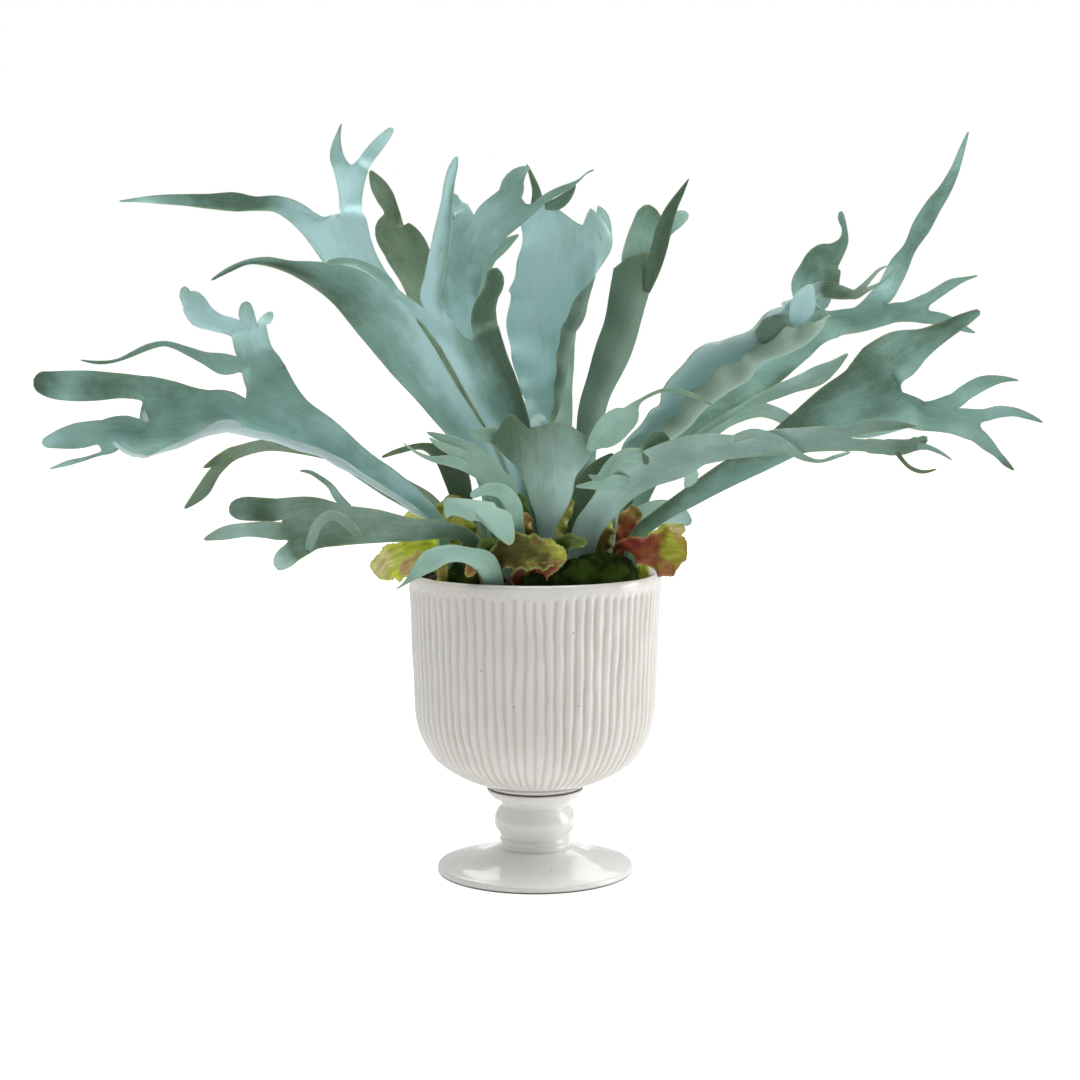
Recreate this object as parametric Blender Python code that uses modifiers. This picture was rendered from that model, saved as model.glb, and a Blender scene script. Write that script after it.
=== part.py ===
"""Potted staghorn fern: forked fronds, shield leaves and moss in a fluted white urn on a turned foot.

Units are metres, +Z is up, and the origin is at the middle of the foot's underside.
The tables of the plant are in millimetres and are scaled once, by MM.
"""
import math

import bmesh
import bpy
import numpy as np

MM = 0.001

# ---- driving dimensions, mm ----
RIM_RADIUS = 105.0          # outside of the lip
RIM_HEIGHT = 253.0
BOWL_BASE = 71.6            # underside of the bowl, on the foot's collar
BOWL_FLOOR = 80.0           # inside of the bowl at its middle
FOOT_RADIUS = 82.0
FOOT_EDGE = 5.0             # height of the foot's upright edge
RECESS_RADIUS = 66.0        # shallow hollow under the foot
RECESS_DEPTH = 2.5
SOIL_TOP = 249.0            # level of the planting medium
GAP = 0.3                   # clearance between pieces that rest on each other
SEAT = SOIL_TOP + GAP       # where fronds, shield leaves and moss stand
LEAF_THICKNESS = 1.4
SHIELD_THICKNESS = 1.2
TURNED_STEPS = 40
FROND_PITCH = 20.0          # distance between two rows of a frond's mesh
SHIELD_PITCH = 12.0
MOSS_SIDES = 14
MOSS_RINGS = 8

FACING = np.array([0.0, -1.0, 0.0])   # the way an unrolled blade's upper side looks

COLLECTION = "staghorn_fern"


# ---- blades: a ribbon along a smooth midrib, which may fork ----
def lobe(knots, cup=(20, 20), roll=0, curl=1.0, columns=2, forks=()):
    """One stretch of blade.

    A knot is (x, y, z, half width), and may add its own roll and its left and right cup.
    Roll turns the blade about its midrib. Cup is the angle that each half bends through,
    spread evenly over the width when curl is 1 and towards the margin when it is more.
    A lobe with forks ends where they start, and they divide its width by their columns.
    """
    rows = [list(k) + [roll] * (len(k) < 5) + list(cup) * (len(k) < 6) for k in knots]
    if forks:
        columns = sum(f["columns"] for f in forks)
    return {"knots": np.array(rows, float), "curl": curl, "columns": columns, "forks": list(forks)}


# ---- the plant: midrib knots in mm ----
FRONDS = {
    "frond_left_antler":
        lobe([(-77, -18, SEAT, 7.5), (-84, -25, 305, 8), (-110, -34, 326, 9.5), (-136, -44, 348, 13),
              (-164, -52, 364, 17), (-189, -58, 381, 21.5), (-204, -62, 392, 24.5)],
              cup=(70, 10), roll=-8, forks=[
            lobe([(-234, -66, 386, 20), (-268, -74, 386, 20), (-297, -82, 388, 21)], cup=(60, 8), forks=[
                lobe([(-321, -88, 370, 16.5), (-338, -92, 365, 14)], cup=(30, 5), forks=[
                    lobe([(-349, -93, 351, 2.5), (-364, -92, 350, 2.5), (-381, -90, 344, 1)],
                          cup=(10, 10), columns=1),
                    lobe([(-354, -96, 371, 9.5), (-370, -99, 367, 7), (-388, -102, 365, 1.5)],
                          cup=(15, 15))]),
                lobe([(-317, -86, 409, 10.5), (-341, -86, 410, 10), (-368, -82, 409, 12.5),
                      (-386, -77, 413, 11), (-396, -74, 415, 5.5)], cup=(12, 12))]),
            lobe([(-217, -60, 416, 19), (-222, -58, 427, 17.5)], cup=(20, 10), forks=[
                lobe([(-243, -70, 426, 7), (-258, -76, 429, 4.5), (-274, -80, 435, 3.5),
                      (-292, -82, 441, 2.5), (-310, -80, 437, 2.5), (-327, -76, 429, 1.5),
                      (-343, -74, 427, 1.5), (-360, -72, 429, 0.5)], cup=(30, 30), columns=1),
                lobe([(-226, -52, 443, 14.5), (-227, -50, 449, 14.5)], cup=(10, 10), forks=[
                    lobe([(-245, -50, 452, 7), (-258, -54, 460, 9.5), (-268, -58, 471, 9.5),
                          (-273, -60, 479, 7), (-277, -60, 487, 2.5)]),
                    lobe([(-232, -42, 463, 5), (-232, -36, 475, 2.5)], cup=(15, 15), columns=1),
                    lobe([(-217, -40, 459, 4), (-211, -38, 465, 2)], cup=(15, 15), columns=1)])])]),
    "frond_top_left":
        lobe([(-32, 45, SEAT, 7.5), (-40, 62, 320, 8.5), (-67, 85, 375, 10.5), (-100, 108, 433, 14),
              (-135, 125, 477, 17.5), (-157, 138, 512, 21), (-165, 144, 532, 22)], cup=(15, 15), forks=[
            lobe([(-186, 144, 548, 10.5), (-208, 142, 557, 9.5), (-224, 138, 563, 7),
                  (-243, 132, 564, 7), (-263, 126, 562, 8), (-288, 118, 563, 6), (-313, 110, 563, 4.5),
                  (-338, 104, 563, 3), (-360, 100, 562, 1)]),
            lobe([(-162, 154, 563, 10.5), (-162, 160, 580, 11.5), (-162, 163, 591, 14.5)], forks=[
                lobe([(-173, 164, 606, 7.5), (-174, 162, 616, 5.5), (-168, 156, 633, 1)], columns=1),
                lobe([(-151, 168, 605, 7), (-140, 172, 620, 5.5), (-127, 178, 634, 1)], columns=1)])]),
    "frond_left_lance":
        lobe([(-25, -18, SEAT, 8), (-31, -30, 323, 10.5), (-52, -42, 364, 14.5), (-76, -52, 397, 17.5),
              (-99, -60, 429, 21.5), (-119, -66, 456, 23), (-144, -70, 481, 20.5),
              (-172, -72, 495, 12), (-194, -72, 502, 5.5), (-211, -72, 506, 4), (-224, -70, 506, 2.5),
              (-239, -67, 501, 2), (-256, -62, 492, 0.5)], cup=(60, 20)),
    "frond_back_left_olive":
        lobe([(-29, 25, SEAT, 7.5), (-36, 42, 334, 9.5), (-52, 55, 376, 10), (-73, 68, 420, 12),
              (-90, 80, 470, 14.5), (-100, 88, 498, 16.5), (-113, 95, 524, 19), (-125, 99, 540, 14),
              (-124, 102, 553, 7), (-130, 104, 567, 8), (-136, 105, 577, 7), (-143, 106, 590, 1)],
              cup=(15, 15)),
    "frond_centre_left":
        lobe([(-3, -12, SEAT, 9), (-9, -24, 331, 10.5), (-18, -36, 376, 15.5), (-31, -44, 406, 21.5),
              (-46, -50, 437, 26.5), (-55, -52, 448, 27)], cup=(30, 30), forks=[
            lobe([(-84, -74, 467, 7), (-102, -82, 484, 5.5), (-121, -86, 498, 4), (-140, -84, 505, 3),
                  (-163, -80, 505, 1)], cup=(40, 40), columns=1),
            lobe([(-78, -56, 473, 11), (-80, -56, 490, 12.5), (-74, -54, 518, 13.5),
                  (-69, -50, 555, 8), (-64, -46, 579, 4), (-61, -44, 591, 0.5)], cup=(60, 30)),
            lobe([(-38, -44, 459, 10.5), (-38, -42, 473, 9.5), (-33, -40, 489, 8), (-30, -38, 502, 5)],
                  cup=(-10, -60))]),
    "frond_centre_blue":
        lobe([(-13, 12, SEAT, 7.5), (-23, 16, 353, 10), (-36, 16, 411, 15), (-49, 10, 461, 20.5),
              (-55, 2, 502, 22), (-51, -4, 529, 25.5)], cup=(15, 15), forks=[
            lobe([(-63, -2, 548, 10.5), (-65, 0, 566, 2.5)], cup=(10, 10), columns=1),
            lobe([(-35, -8, 545, 16.5), (-24, -12, 559, 15.5)], cup=(10, 10), forks=[
                lobe([(-15, -14, 573, 7.5), (-4, -14, 585, 1.5)], columns=1),
                lobe([(-2, -20, 558, 8), (14, -26, 562, 5.5), (30, -32, 571, 2.5), (38, -36, 577, 1),
                      (47, -38, 580, 0.5)], cup=(30, 30), columns=1)])]),
    "frond_centre_wide":
        lobe([(12, 12, SEAT, 8.5), (8, 18, 336, 10), (6, 24, 378, 16), (3, 28, 423, 26),
              (6, 28, 459, 31.5), (14, 26, 490, 39), (22, 22, 519, 43), (22, 20, 533, 41.5)],
              cup=(15, 60), curl=1.5, forks=[
            lobe([(1, 18, 550, 15.5), (12, 14, 557, 4)], cup=(10, 10)),
            lobe([(31, 20, 537, 11.5), (42, 20, 550, 3.5)], cup=(10, 10), columns=1),
            lobe([(57, 28, 542, 7.5), (55, 34, 555, 2.5)], cup=(20, 60), columns=1)]),
    "frond_front_trumpet":
        lobe([(9, -48, SEAT, 5.5), (9, -58, 301, 9.5), (10, -70, 323, 16), (11, -84, 343, 25),
              (12, -98, 358, 37.5), (12, -104, 367, 43.5)], forks=[
            lobe([(-36, -122, 375, 6), (-48, -128, 374, 4)]),
            lobe([(-14, -102, 376, 12.5), (-19, -98, 384, 6)], columns=1),
            lobe([(12, -98, 374, 14), (12, -96, 380, 11)], columns=1),
            lobe([(47, -114, 368, 7.5), (58, -120, 374, 9), (69, -124, 383, 10), (77, -126, 393, 4),
                  (86, -128, 402, 1.5), (100, -130, 407, 1.5), (117, -132, 405, 1.5),
                  (138, -134, 395, 0.5)])]),
    "frond_rolled":
        lobe([(42, 8, SEAT, 8.5), (43, 14, 328, 11), (49, 20, 369, 16.5), (59, 26, 407, 20),
              (69, 31, 440, 23.5), (80, 36, 473, 26), (89, 39, 498, 26), (95, 41, 519, 25)],
              cup=(70, 110), forks=[
            lobe([(91, 44, 539, 15), (96, 46, 557, 10)], cup=(60, 30)),
            lobe([(106, 34, 542, 5), (111, 32, 557, 4), (127, 30, 577, 0.5)], cup=(40, 40), columns=1),
            lobe([(116, 46, 535, 11), (130, 50, 550, 5)], cup=(10, 40), columns=1)]),
    "frond_right_wavy":
        lobe([(64, -2, SEAT, 7.5), (68, -8, 313, 10), (86, -16, 355, 16.5), (108, -22, 386, 21),
              (131, -26, 407, 23.5), (156, -28, 426, 25), (184, -28, 443, 26), (200, -26, 453, 25)],
              cup=(60, 100), forks=[
            lobe([(198, -14, 464, 9), (192, -10, 474, 2.5)], columns=1),
            lobe([(219, -26, 477, 10.5), (233, -28, 484, 7.5), (252, -30, 485, 4), (263, -32, 489, 3.5)],
                  cup=(30, 30), forks=[
                lobe([(279, -34, 501, 1.5), (292, -36, 507, 0.5)], cup=(25, 25), columns=1),
                lobe([(281, -32, 494, 1.5), (296, -32, 503, 0.5)], cup=(25, 25), columns=1)]),
            lobe([(220, -34, 454, 7.5), (232, -42, 470, 2.5)], cup=(30, 60), columns=1)]),
    "frond_right_long":
        lobe([(62, 26, SEAT, 7.5), (79, 34, 318, 8.5), (108, 46, 355, 10), (141, 58, 383, 13),
              (176, 70, 406, 16.5), (211, 80, 430, 20), (239, 88, 449, 24), (257, 92, 461, 27.5)],
              cup=(15, 30), forks=[
            lobe([(247, 100, 485, 16.5), (247, 108, 504, 19), (256, 114, 520, 13),
                  (268, 116, 530, 4.5), (267, 118, 543, 3.5), (267, 118, 555, 1)], cup=(15, 15)),
            lobe([(283, 94, 464, 14.5), (299, 94, 471, 14.5)], cup=(15, 15), forks=[
                lobe([(306, 98, 489, 10.5), (319, 102, 511, 8), (327, 104, 526, 8),
                      (337, 106, 546, 11), (348, 108, 566, 8), (359, 110, 589, 5),
                      (368, 112, 608, 3.5), (375, 114, 623, 0.5)]),
                lobe([(318, 90, 469, 11), (330, 88, 470, 13)], cup=(15, 15), forks=[
                    lobe([(347, 86, 487, 7), (363, 84, 494, 4.5), (380, 82, 499, 0.5)], columns=1),
                    lobe([(347, 84, 462, 6), (362, 80, 456, 3.5), (378, 76, 450, 0.5)], columns=1)])])]),
    "frond_right_antler":
        lobe([(79, -20, SEAT, 7.5), (94, -22, 296, 7.5), (118, -28, 315, 10), (150, -34, 334, 12),
              (190, -38, 358, 16), (226, -36, 381, 24.5), (255, -32, 396, 32.5), (273, -30, 404, 35.5)],
              cup=(15, 35), forks=[
            lobe([(295, -20, 435, 20.5), (319, -14, 446, 13), (341, -10, 457, 7.5), (365, -8, 467, 2.5)],
                  cup=(15, 15)),
            lobe([(301, -38, 387, 16), (324, -44, 386, 13.5), (334, -46, 386, 13.5)], cup=(15, 15), forks=[
                lobe([(347, -42, 402, 7), (362, -40, 408, 6.5), (376, -38, 412, 4),
                      (391, -36, 412, 0.5)], columns=1),
                lobe([(350, -52, 380, 10.5)], cup=(15, 15), forks=[
                    lobe([(364, -62, 388, 5), (378, -70, 389, 5), (389, -78, 384, 3),
                          (400, -84, 381, 0.5)], columns=1),
                    lobe([(360, -52, 366, 9.5), (373, -50, 353, 5.5), (385, -48, 340, 0.5)], columns=1)])])]),
    "frond_front_right":
        lobe([(39, -42, SEAT, 7.5), (43, -52, 304, 10.5), (60, -68, 327, 15), (84, -88, 345, 18),
              (119, -108, 356, 17), (156, -128, 364, 14.5), (193, -145, 369, 13.5),
              (228, -158, 372, 14.5)], cup=(40, 30), forks=[
            lobe([(248, -160, 382, 6), (267, -164, 385, 3.5), (284, -168, 381, 0.5)],
                  cup=(30, 30), columns=1),
            lobe([(256, -168, 366, 9), (275, -176, 366, 7.5), (289, -180, 370, 4.5)], cup=(40, 30), forks=[
                lobe([(299, -186, 363, 1.5), (307, -194, 357, 0.5)], cup=(25, 25), columns=1)])]),
    "frond_low_left":
        lobe([(-40, -50, SEAT, 6.5), (-52, -62, 288, 7), (-75, -80, 297, 8.5), (-106, -100, 299, 11.5),
              (-135, -118, 303, 18), (-161, -130, 307, 24), (-175, -136, 307, 25)], cup=(20, 40), forks=[
            lobe([(-181, -150, 289, 11.5), (-191, -160, 274, 4)], columns=1),
            lobe([(-203, -146, 302, 7.5), (-225, -152, 302, 6), (-251, -158, 295, 1)],
                  cup=(20, 30), columns=1),
            lobe([(-194, -138, 317, 10.5), (-217, -142, 318, 8.5), (-236, -146, 311, 2.5)], cup=(20, 30))]),
    "frond_small_left":
        lobe([(-19, -40, SEAT, 6.5), (-23, -62, 317, 7), (-40, -82, 343, 8.5), (-54, -94, 355, 10)], forks=[
            lobe([(-69, -104, 353, 4.5), (-86, -110, 356, 1.5), (-102, -114, 366, 0.5)], columns=1),
            lobe([(-69, -98, 360, 4), (-81, -102, 368, 0.5)], columns=1),
            lobe([(-66, -92, 366, 4.5), (-82, -94, 372, 0.5)], columns=1)]),
    "frond_drooping_pale":
        lobe([(-14, -58, SEAT, 5.5), (-14, -78, 309, 7), (-23, -96, 323, 10), (-33, -114, 318, 17),
              (-36, -120, 307, 17)], cup=(-15, -15), forks=[
            lobe([(-28, -118, 291, 8.5), (-29, -117, 284, 4.5)], cup=(-15, -15)),
            lobe([(-53, -122, 313, 6), (-69, -124, 314, 3)], cup=(-15, -15), columns=1)]),
    "frond_over_rim":
        lobe([(-21, -74, SEAT, 4), (-26, -82, 271, 6.5), (-35, -90, 272, 8)], cup=(-20, -20), forks=[
            lobe([(-34, -90, 263, 7), (-33, -89, 258, 6.5)], cup=(-20, -20), columns=1),
            lobe([(-57, -104, 276, 5.5), (-72, -112, 278, 7), (-86, -118, 273, 8), (-95, -120, 264, 4),
                  (-108, -118, 253, 0.5)], cup=(-30, -30))]),
    "frond_back_left_thin":
        lobe([(-67, 22, SEAT, 6), (-84, 36, 303, 6), (-115, 52, 324, 5), (-159, 66, 341, 5),
              (-203, 76, 351, 5), (-236, 82, 353, 5), (-259, 84, 347, 6)], forks=[
            lobe([(-277, 88, 331, 5), (-290, 92, 313, 6), (-307, 96, 297, 1)], columns=1),
            lobe([(-273, 80, 341, 4.5), (-287, 78, 334, 0.5)], columns=1)]),
    "frond_arching_olive":
        lobe([(-54, 8, SEAT, 7.5), (-60, 12, 307, 9), (-66, 10, 332, 11), (-75, 4, 348, 9),
              (-92, -4, 357, 3.5), (-111, -12, 354, 2.5), (-125, -18, 349, 0.5)], cup=(25, 25)),
    "frond_back_right_thin":
        lobe([(77, 44, SEAT, 6), (102, 52, 330, 6), (141, 66, 366, 5), (181, 80, 389, 6),
              (221, 92, 404, 7), (248, 98, 414, 8.5), (261, 102, 422, 4.5), (273, 106, 432, 0.5)],
              cup=(30, 30)),
    "frond_back_right_arch":
        lobe([(55, 38, SEAT, 6), (83, 62, 306, 6), (112, 82, 332, 6), (144, 94, 357, 6),
              (171, 104, 376, 7), (198, 114, 383, 7), (222, 122, 374, 6), (240, 128, 359, 3.5)],
              cup=(30, 30)),
    "frond_low_right":
        lobe([(78, 14, SEAT, 7.5), (93, 22, 297, 11), (109, 30, 300, 11), (125, 38, 294, 7),
              (132, 42, 288, 2.5)], cup=(25, 25)),
    "frond_back_low_left":
        lobe([(-33, 62, SEAT, 7), (-49, 76, 287, 8), (-83, 100, 290, 8), (-120, 130, 307, 9),
              (-167, 160, 338, 12.5), (-205, 178, 364, 15.5), (-228, 184, 376, 15.5)], forks=[
            lobe([(-249, 186, 371, 7.5), (-269, 186, 369, 1)], columns=1),
            lobe([(-246, 190, 392, 8), (-257, 194, 411, 1)], columns=1)]),
    "frond_back_low_right":
        lobe([(43, 52, SEAT, 7), (58, 66, 303, 8.5), (91, 92, 325, 10.5), (137, 125, 341, 10.5),
              (193, 152, 348, 9), (240, 170, 353, 10), (276, 182, 371, 16.5), (293, 186, 382, 20)], forks=[
            lobe([(312, 190, 402, 8), (325, 194, 420, 1)], columns=1),
            lobe([(319, 188, 380, 8), (340, 190, 375, 1)], columns=1)]),
    "frond_back_upright":
        lobe([(23, 46, SEAT, 7), (23, 72, 332, 8.5), (20, 108, 391, 13), (17, 140, 448, 19.5),
              (19, 158, 493, 24), (20, 164, 513, 25)], forks=[
            lobe([(4, 168, 529, 10), (-4, 172, 543, 2)], columns=1),
            lobe([(35, 168, 526, 10), (40, 172, 537, 2)], columns=1)]),
    "frond_back_arching":
        lobe([(-6, 56, SEAT, 7), (-13, 92, 331, 8.5), (-24, 132, 373, 12.5), (-32, 166, 393, 16.5),
              (-32, 180, 395, 18)], cup=(-20, -20), forks=[
            lobe([(-49, 192, 385, 9), (-54, 198, 370, 2)], cup=(-20, -20), columns=1),
            lobe([(-21, 194, 387, 9), (-19, 200, 370, 2)], cup=(-20, -20), columns=1)]),
}

SHIELDS = {
    "shield_rim_left":
        lobe([(-73, -34, SEAT, 5.5), (-85, -40, 276, 11.5), (-103, -42, 275, 15.5),
              (-114, -44, 266, 15.5), (-122, -44, 253, 7.5)], columns=4),
    "shield_peach":
        lobe([(-69, -58, SEAT, 5.5), (-82, -68, 273, 10.5), (-94, -80, 274, 12), (-103, -88, 267, 8)],
              cup=(30, 20), columns=4),
    "shield_brick":
        lobe([(82, -34, SEAT, 5), (75, -50, 280, 7.5), (84, -66, 278, 15), (101, -78, 274, 21.5),
              (115, -84, 270, 16), (122, -84, 268, 6.5)], cup=(-25, -35), columns=4),
    "shield_cupped":
        lobe([(-18, -66, SEAT, 6.5), (-14, -74, 274, 12.5), (1, -84, 277, 16.5), (17, -90, 276, 12),
              (27, -92, 275, 5.5)], cup=(20, 70), columns=4),
    "shield_orange_upright":
        lobe([(78, -6, SEAT, 6), (78, -4, 288, 9), (81, -2, 299, 10), (84, 0, 307, 3.5)], columns=4),
    "shield_lime_tip":
        lobe([(87, -28, SEAT, 4), (98, -31, 284, 6.5), (111, -34, 289, 6.5), (124, -36, 283, 2.5)],
              columns=4),
    "shield_green_brown":
        lobe([(54, -28, SEAT, 5.5), (53, -31, 278, 10), (55, -33, 292, 10.5), (61, -31, 305, 2.5)],
              cup=(15, 15), columns=4),
    "shield_green_small":
        lobe([(17, -70, SEAT, 5), (17, -76, 282, 6.5), (29, -82, 286, 7), (42, -84, 285, 3)], columns=4),
    "shield_narrow_yellow":
        lobe([(23, -26, SEAT, 4), (22, -24, 288, 5), (26, -20, 304, 5), (31, -16, 317, 3.5)], columns=4),
    "shield_orange_centre":
        lobe([(-4, -36, SEAT, 5.5), (-6, -38, 283, 8), (-6, -38, 294, 9), (-6, -36, 306, 2.5)],
              columns=4),
    "shield_green_centre":
        lobe([(-9, -24, SEAT, 4), (-8, -26, 290, 5.5), (-7, -29, 305, 5), (-6, -31, 315, 2.5)],
              columns=4),
    "shield_left_yellow":
        lobe([(-60, -10, SEAT, 6.5), (-65, -4, 296, 11), (-70, 0, 307, 12.5), (-76, 4, 315, 5)],
              columns=4),
    "shield_left_orange":
        lobe([(-46, -40, SEAT, 5.5), (-53, -46, 285, 9.5), (-60, -50, 297, 10.5), (-64, -50, 305, 4)],
              columns=4),
    "shield_dark_green":
        lobe([(-35, -54, SEAT, 5), (-34, -62, 272, 9), (-39, -70, 281, 10.5), (-44, -73, 286, 4)],
              columns=4),
    "shield_small_frill":
        lobe([(-40, -80, SEAT, 4), (-45, -88, 270, 5.5), (-50, -94, 266, 6.5), (-53, -96, 259, 3)],
              columns=4),
    "shield_back_left":
        lobe([(-76, 36, SEAT, 6), (-84, 46, 276, 13), (-100, 60, 284, 17), (-110, 70, 272, 8)],
              cup=(-15, -15), columns=4),
    "shield_back":
        lobe([(-12, 76, SEAT, 6), (-13, 88, 278, 13), (-15, 108, 284, 17), (-17, 124, 270, 8)],
              cup=(-15, -15), columns=4),
    "shield_back_right":
        lobe([(64, 60, SEAT, 6), (73, 72, 278, 12), (88, 88, 284, 16), (98, 100, 272, 8)],
              cup=(-15, -15), columns=4),
}

# a cushion is its middle x and y, half length, half width, height, and turn about Z in degrees
MOSS = {
    "moss_front_right": (49, -66, 31, 12, 27, 36),
    "moss_front": (7, -85, 13, 8, 19, 0),
    "moss_front_left": (-52, -68, 12, 9, 24, -35),
    "moss_left": (-88, 4, 7, 14, 22, 0),
    "moss_back_right": (30, 76, 20, 12, 26, -20),
    "moss_back_left": (-60, 60, 17, 11, 26, 44),
}


def smooth_path(knots, count, lead=None, tip=False):
    """Values and slopes along a cubic through the knots, spaced by chord length.

    The slope at a knot is the mean of its two chords, weighted by the other's length.
    lead replaces the first direction, and a tip draws its rows closer together at the end.
    """
    span = np.maximum(np.linalg.norm(np.diff(knots[:, :3], axis=0), axis=1), 1e-6)
    at = np.concatenate([[0], np.cumsum(span)])
    chord = np.diff(knots, axis=0) / span[:, None]
    slope = np.empty_like(knots)
    slope[0], slope[-1] = chord[0], chord[-1]
    if len(knots) > 2:
        weight = (span[1:] + span[:-1])[:, None]
        slope[1:-1] = (chord[:-1] * span[1:, None] + chord[1:] * span[:-1, None]) / weight
        slope[-1] = 1.5 * chord[-1] - 0.5 * slope[-2]
        slope[0] = 1.5 * chord[0] - 0.5 * slope[1]
    if lead is not None:
        slope[0, :3] = lead
    u = np.linspace(0, 1, count + 1)
    if tip:
        u = 1 - (1 - u) ** 1.25
    x = u * at[-1]
    i = np.clip(np.searchsorted(at, x, side="right") - 1, 0, len(span) - 1)
    q, h = ((x - at[i]) / span[i])[:, None], span[i][:, None]
    value = ((2 * q**3 - 3 * q**2 + 1) * knots[i] + (q**3 - 2 * q**2 + q) * h * slope[i]
             + (3 * q**2 - 2 * q**3) * knots[i + 1] + (q**3 - q**2) * h * slope[i + 1])
    change = ((6 * q**2 - 6 * q) * knots[i] / h + (3 * q**2 - 4 * q + 1) * slope[i]
              + (6 * q - 6 * q**2) * knots[i + 1] / h + (3 * q**2 - 2 * q) * slope[i + 1])
    return value, change, x


def unit(a):
    return a / np.maximum(np.linalg.norm(a, axis=-1, keepdims=True), 1e-9)


def half_section(width, cup, curl, columns, fine=8):
    """Across and up for half a blade: its direction turns by cup times the curl-th power of v."""
    steps = columns * fine
    v = np.linspace(0, 1, steps + 1)
    turn = np.radians(cup)[:, None] * ((v[1:] + v[:-1]) / 2)[None] ** curl
    start = np.zeros((len(width), 1))
    across = np.concatenate([start, np.cumsum(np.cos(turn), 1) / steps], 1) * width[:, None]
    up = np.concatenate([start, np.cumsum(np.sin(turn), 1) / steps], 1) * width[:, None]
    return across[:, ::fine], up[:, ::fine]


def grow(part, pitch, points, faces, shared=None, parent=None):
    """Add one lobe's grid of points and faces, and then its forks.

    shared are the parent's end points that this lobe starts from. The grid is drawn onto
    them and lets go over the first third of its length, so the blade has no seam.
    """
    knots, columns = part["knots"], part["columns"]
    lead = None
    if shared is not None:
        start = np.array([points[i] for i in shared])
        half = np.linalg.norm(np.diff(start, axis=0), axis=1).sum() / 2
        middle = (start[(len(start) - 1) // 2] + start[len(start) // 2]) / 2
        lead, roll, left, right = parent
        knots = np.vstack([[*middle, half, roll, left, right], knots])
    length = np.linalg.norm(np.diff(knots[:, :3], axis=0), axis=1).sum()
    count = max(2, round(length / pitch))
    value, change, x = smooth_path(knots, count, lead, tip=not part["forks"])
    along = unit(change[:, :3])
    if shared is None:
        along[0] = [0, 0, 1]
    width = np.maximum(value[:, 3], 0.5)
    side = unit(np.cross(along, FACING))
    face = np.cross(side, along)
    roll = np.radians(value[:, 4])[:, None]
    across = side * np.cos(roll) + face * np.sin(roll)
    normal = face * np.cos(roll) - side * np.sin(roll)
    left_columns = columns // 2
    xl, yl = half_section(width, value[:, 5], part["curl"], left_columns)
    xr, yr = half_section(width, value[:, 6], part["curl"], columns - left_columns)
    flat = np.concatenate([-xl[:, :0:-1], xr], 1)
    high = np.concatenate([yl[:, :0:-1], yr], 1)
    grid = value[:, None, :3] + across[:, None] * flat[..., None] + normal[:, None] * high[..., None]
    first = 0
    if shared is not None:
        reach = max(1.6 * half, 0.35 * x[-1]) if x[-1] < 3 * half else 1.6 * half
        fade = 1 - np.clip(x / reach, 0, 1) ** 2 * (3 - 2 * np.clip(x / reach, 0, 1))
        grid = grid + (start - grid[0])[None] * fade[:, None, None]
        first = 1
    index = len(points) + np.arange((count + 1 - first) * (columns + 1)).reshape(-1, columns + 1)
    if shared is not None:
        index = np.vstack([shared, index])
    points.extend(grid[first:].reshape(-1, 3))
    corners = np.stack([index[:-1, :-1], index[:-1, 1:], index[1:, 1:], index[1:, :-1]], -1)
    faces.extend(map(tuple, corners.reshape(-1, 4).tolist()))
    c = 0
    for fork in part["forks"]:
        end = index[-1, c:c + fork["columns"] + 1]
        grow(fork, pitch, points, faces, end, (along[-1], value[-1, 4], *value[-1, 5:] / 2))
        c += fork["columns"]


def make_blade(name, part, pitch, thickness, finish):
    """A leaf: the grown grid with a thickness, half to each side."""
    points, faces = [], []
    grow(part, pitch, points, faces)
    mesh = bpy.data.meshes.new(name)
    mesh.from_pydata((np.array(points) * MM).tolist(), [], faces)
    leaf = add_object(name, mesh, finish)
    shell = leaf.modifiers.new("thickness", "SOLIDIFY")
    shell.thickness = thickness * MM
    shell.offset = 0
    mesh.shade_smooth()
    return leaf


# ---- the urn, the planting medium and the moss ----
def foot_profile():
    """Top of the collar, then knob, bead rings, stem and the flared foot, and its recess."""
    collar = [(0, 71.3), (38.6, 71.3), (40.3, 70.6), (40.3, 69.5), (37, 64.4), (29.4, 59.3), (28.2, 57)]
    knob = [(30.3, 54), (32.4, 49), (33.2, 44.7), (32.4, 38.7), (29.9, 33.5)]
    beads = [(28.6, 30), (29.9, 27.6), (28.9, 25), (29.9, 22.4), (28.2, 19.8)]
    flare = [(31, 20), (36, 18), (45, 14), (60, 10), (78, 6.5), (81.4, FOOT_EDGE + 0.6), (FOOT_RADIUS, FOOT_EDGE)]
    under = [(FOOT_RADIUS, 0.8), (FOOT_RADIUS - 0.8, 0), (RECESS_RADIUS + 2, 0),
             (RECESS_RADIUS, RECESS_DEPTH), (0, RECESS_DEPTH)]
    return collar + knob + beads + flare + under


def bowl_inside():
    """Inner wall of the bowl from the lip down to its floor."""
    return [(98, RIM_HEIGHT - 3), (97, 230), (96.4, 187), (94.8, 140), (91, 122), (84, 108), (72, 97),
            (52, 87), (0, BOWL_FLOOR)]


def bowl_profile():
    """From the floor up the inside, over the lip, and down the outside to the base."""
    lip = [(100.6, RIM_HEIGHT), (104.4, RIM_HEIGHT), (RIM_RADIUS, RIM_HEIGHT - 2)]
    wall = [(103.6, 232), (102.9, 217), (102.2, 187), (101.1, 166), (100.4, 146), (99.2, 131)]
    belly = [(96.8, 121), (92.6, 111), (86, 100), (81.4, 95), (75.1, 90), (67.2, 85), (57.5, 80), (44.9, 75)]
    base = [(39.5, BOWL_BASE), (0, BOWL_BASE)]
    return bowl_inside()[::-1] + lip + wall + belly + base


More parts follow.
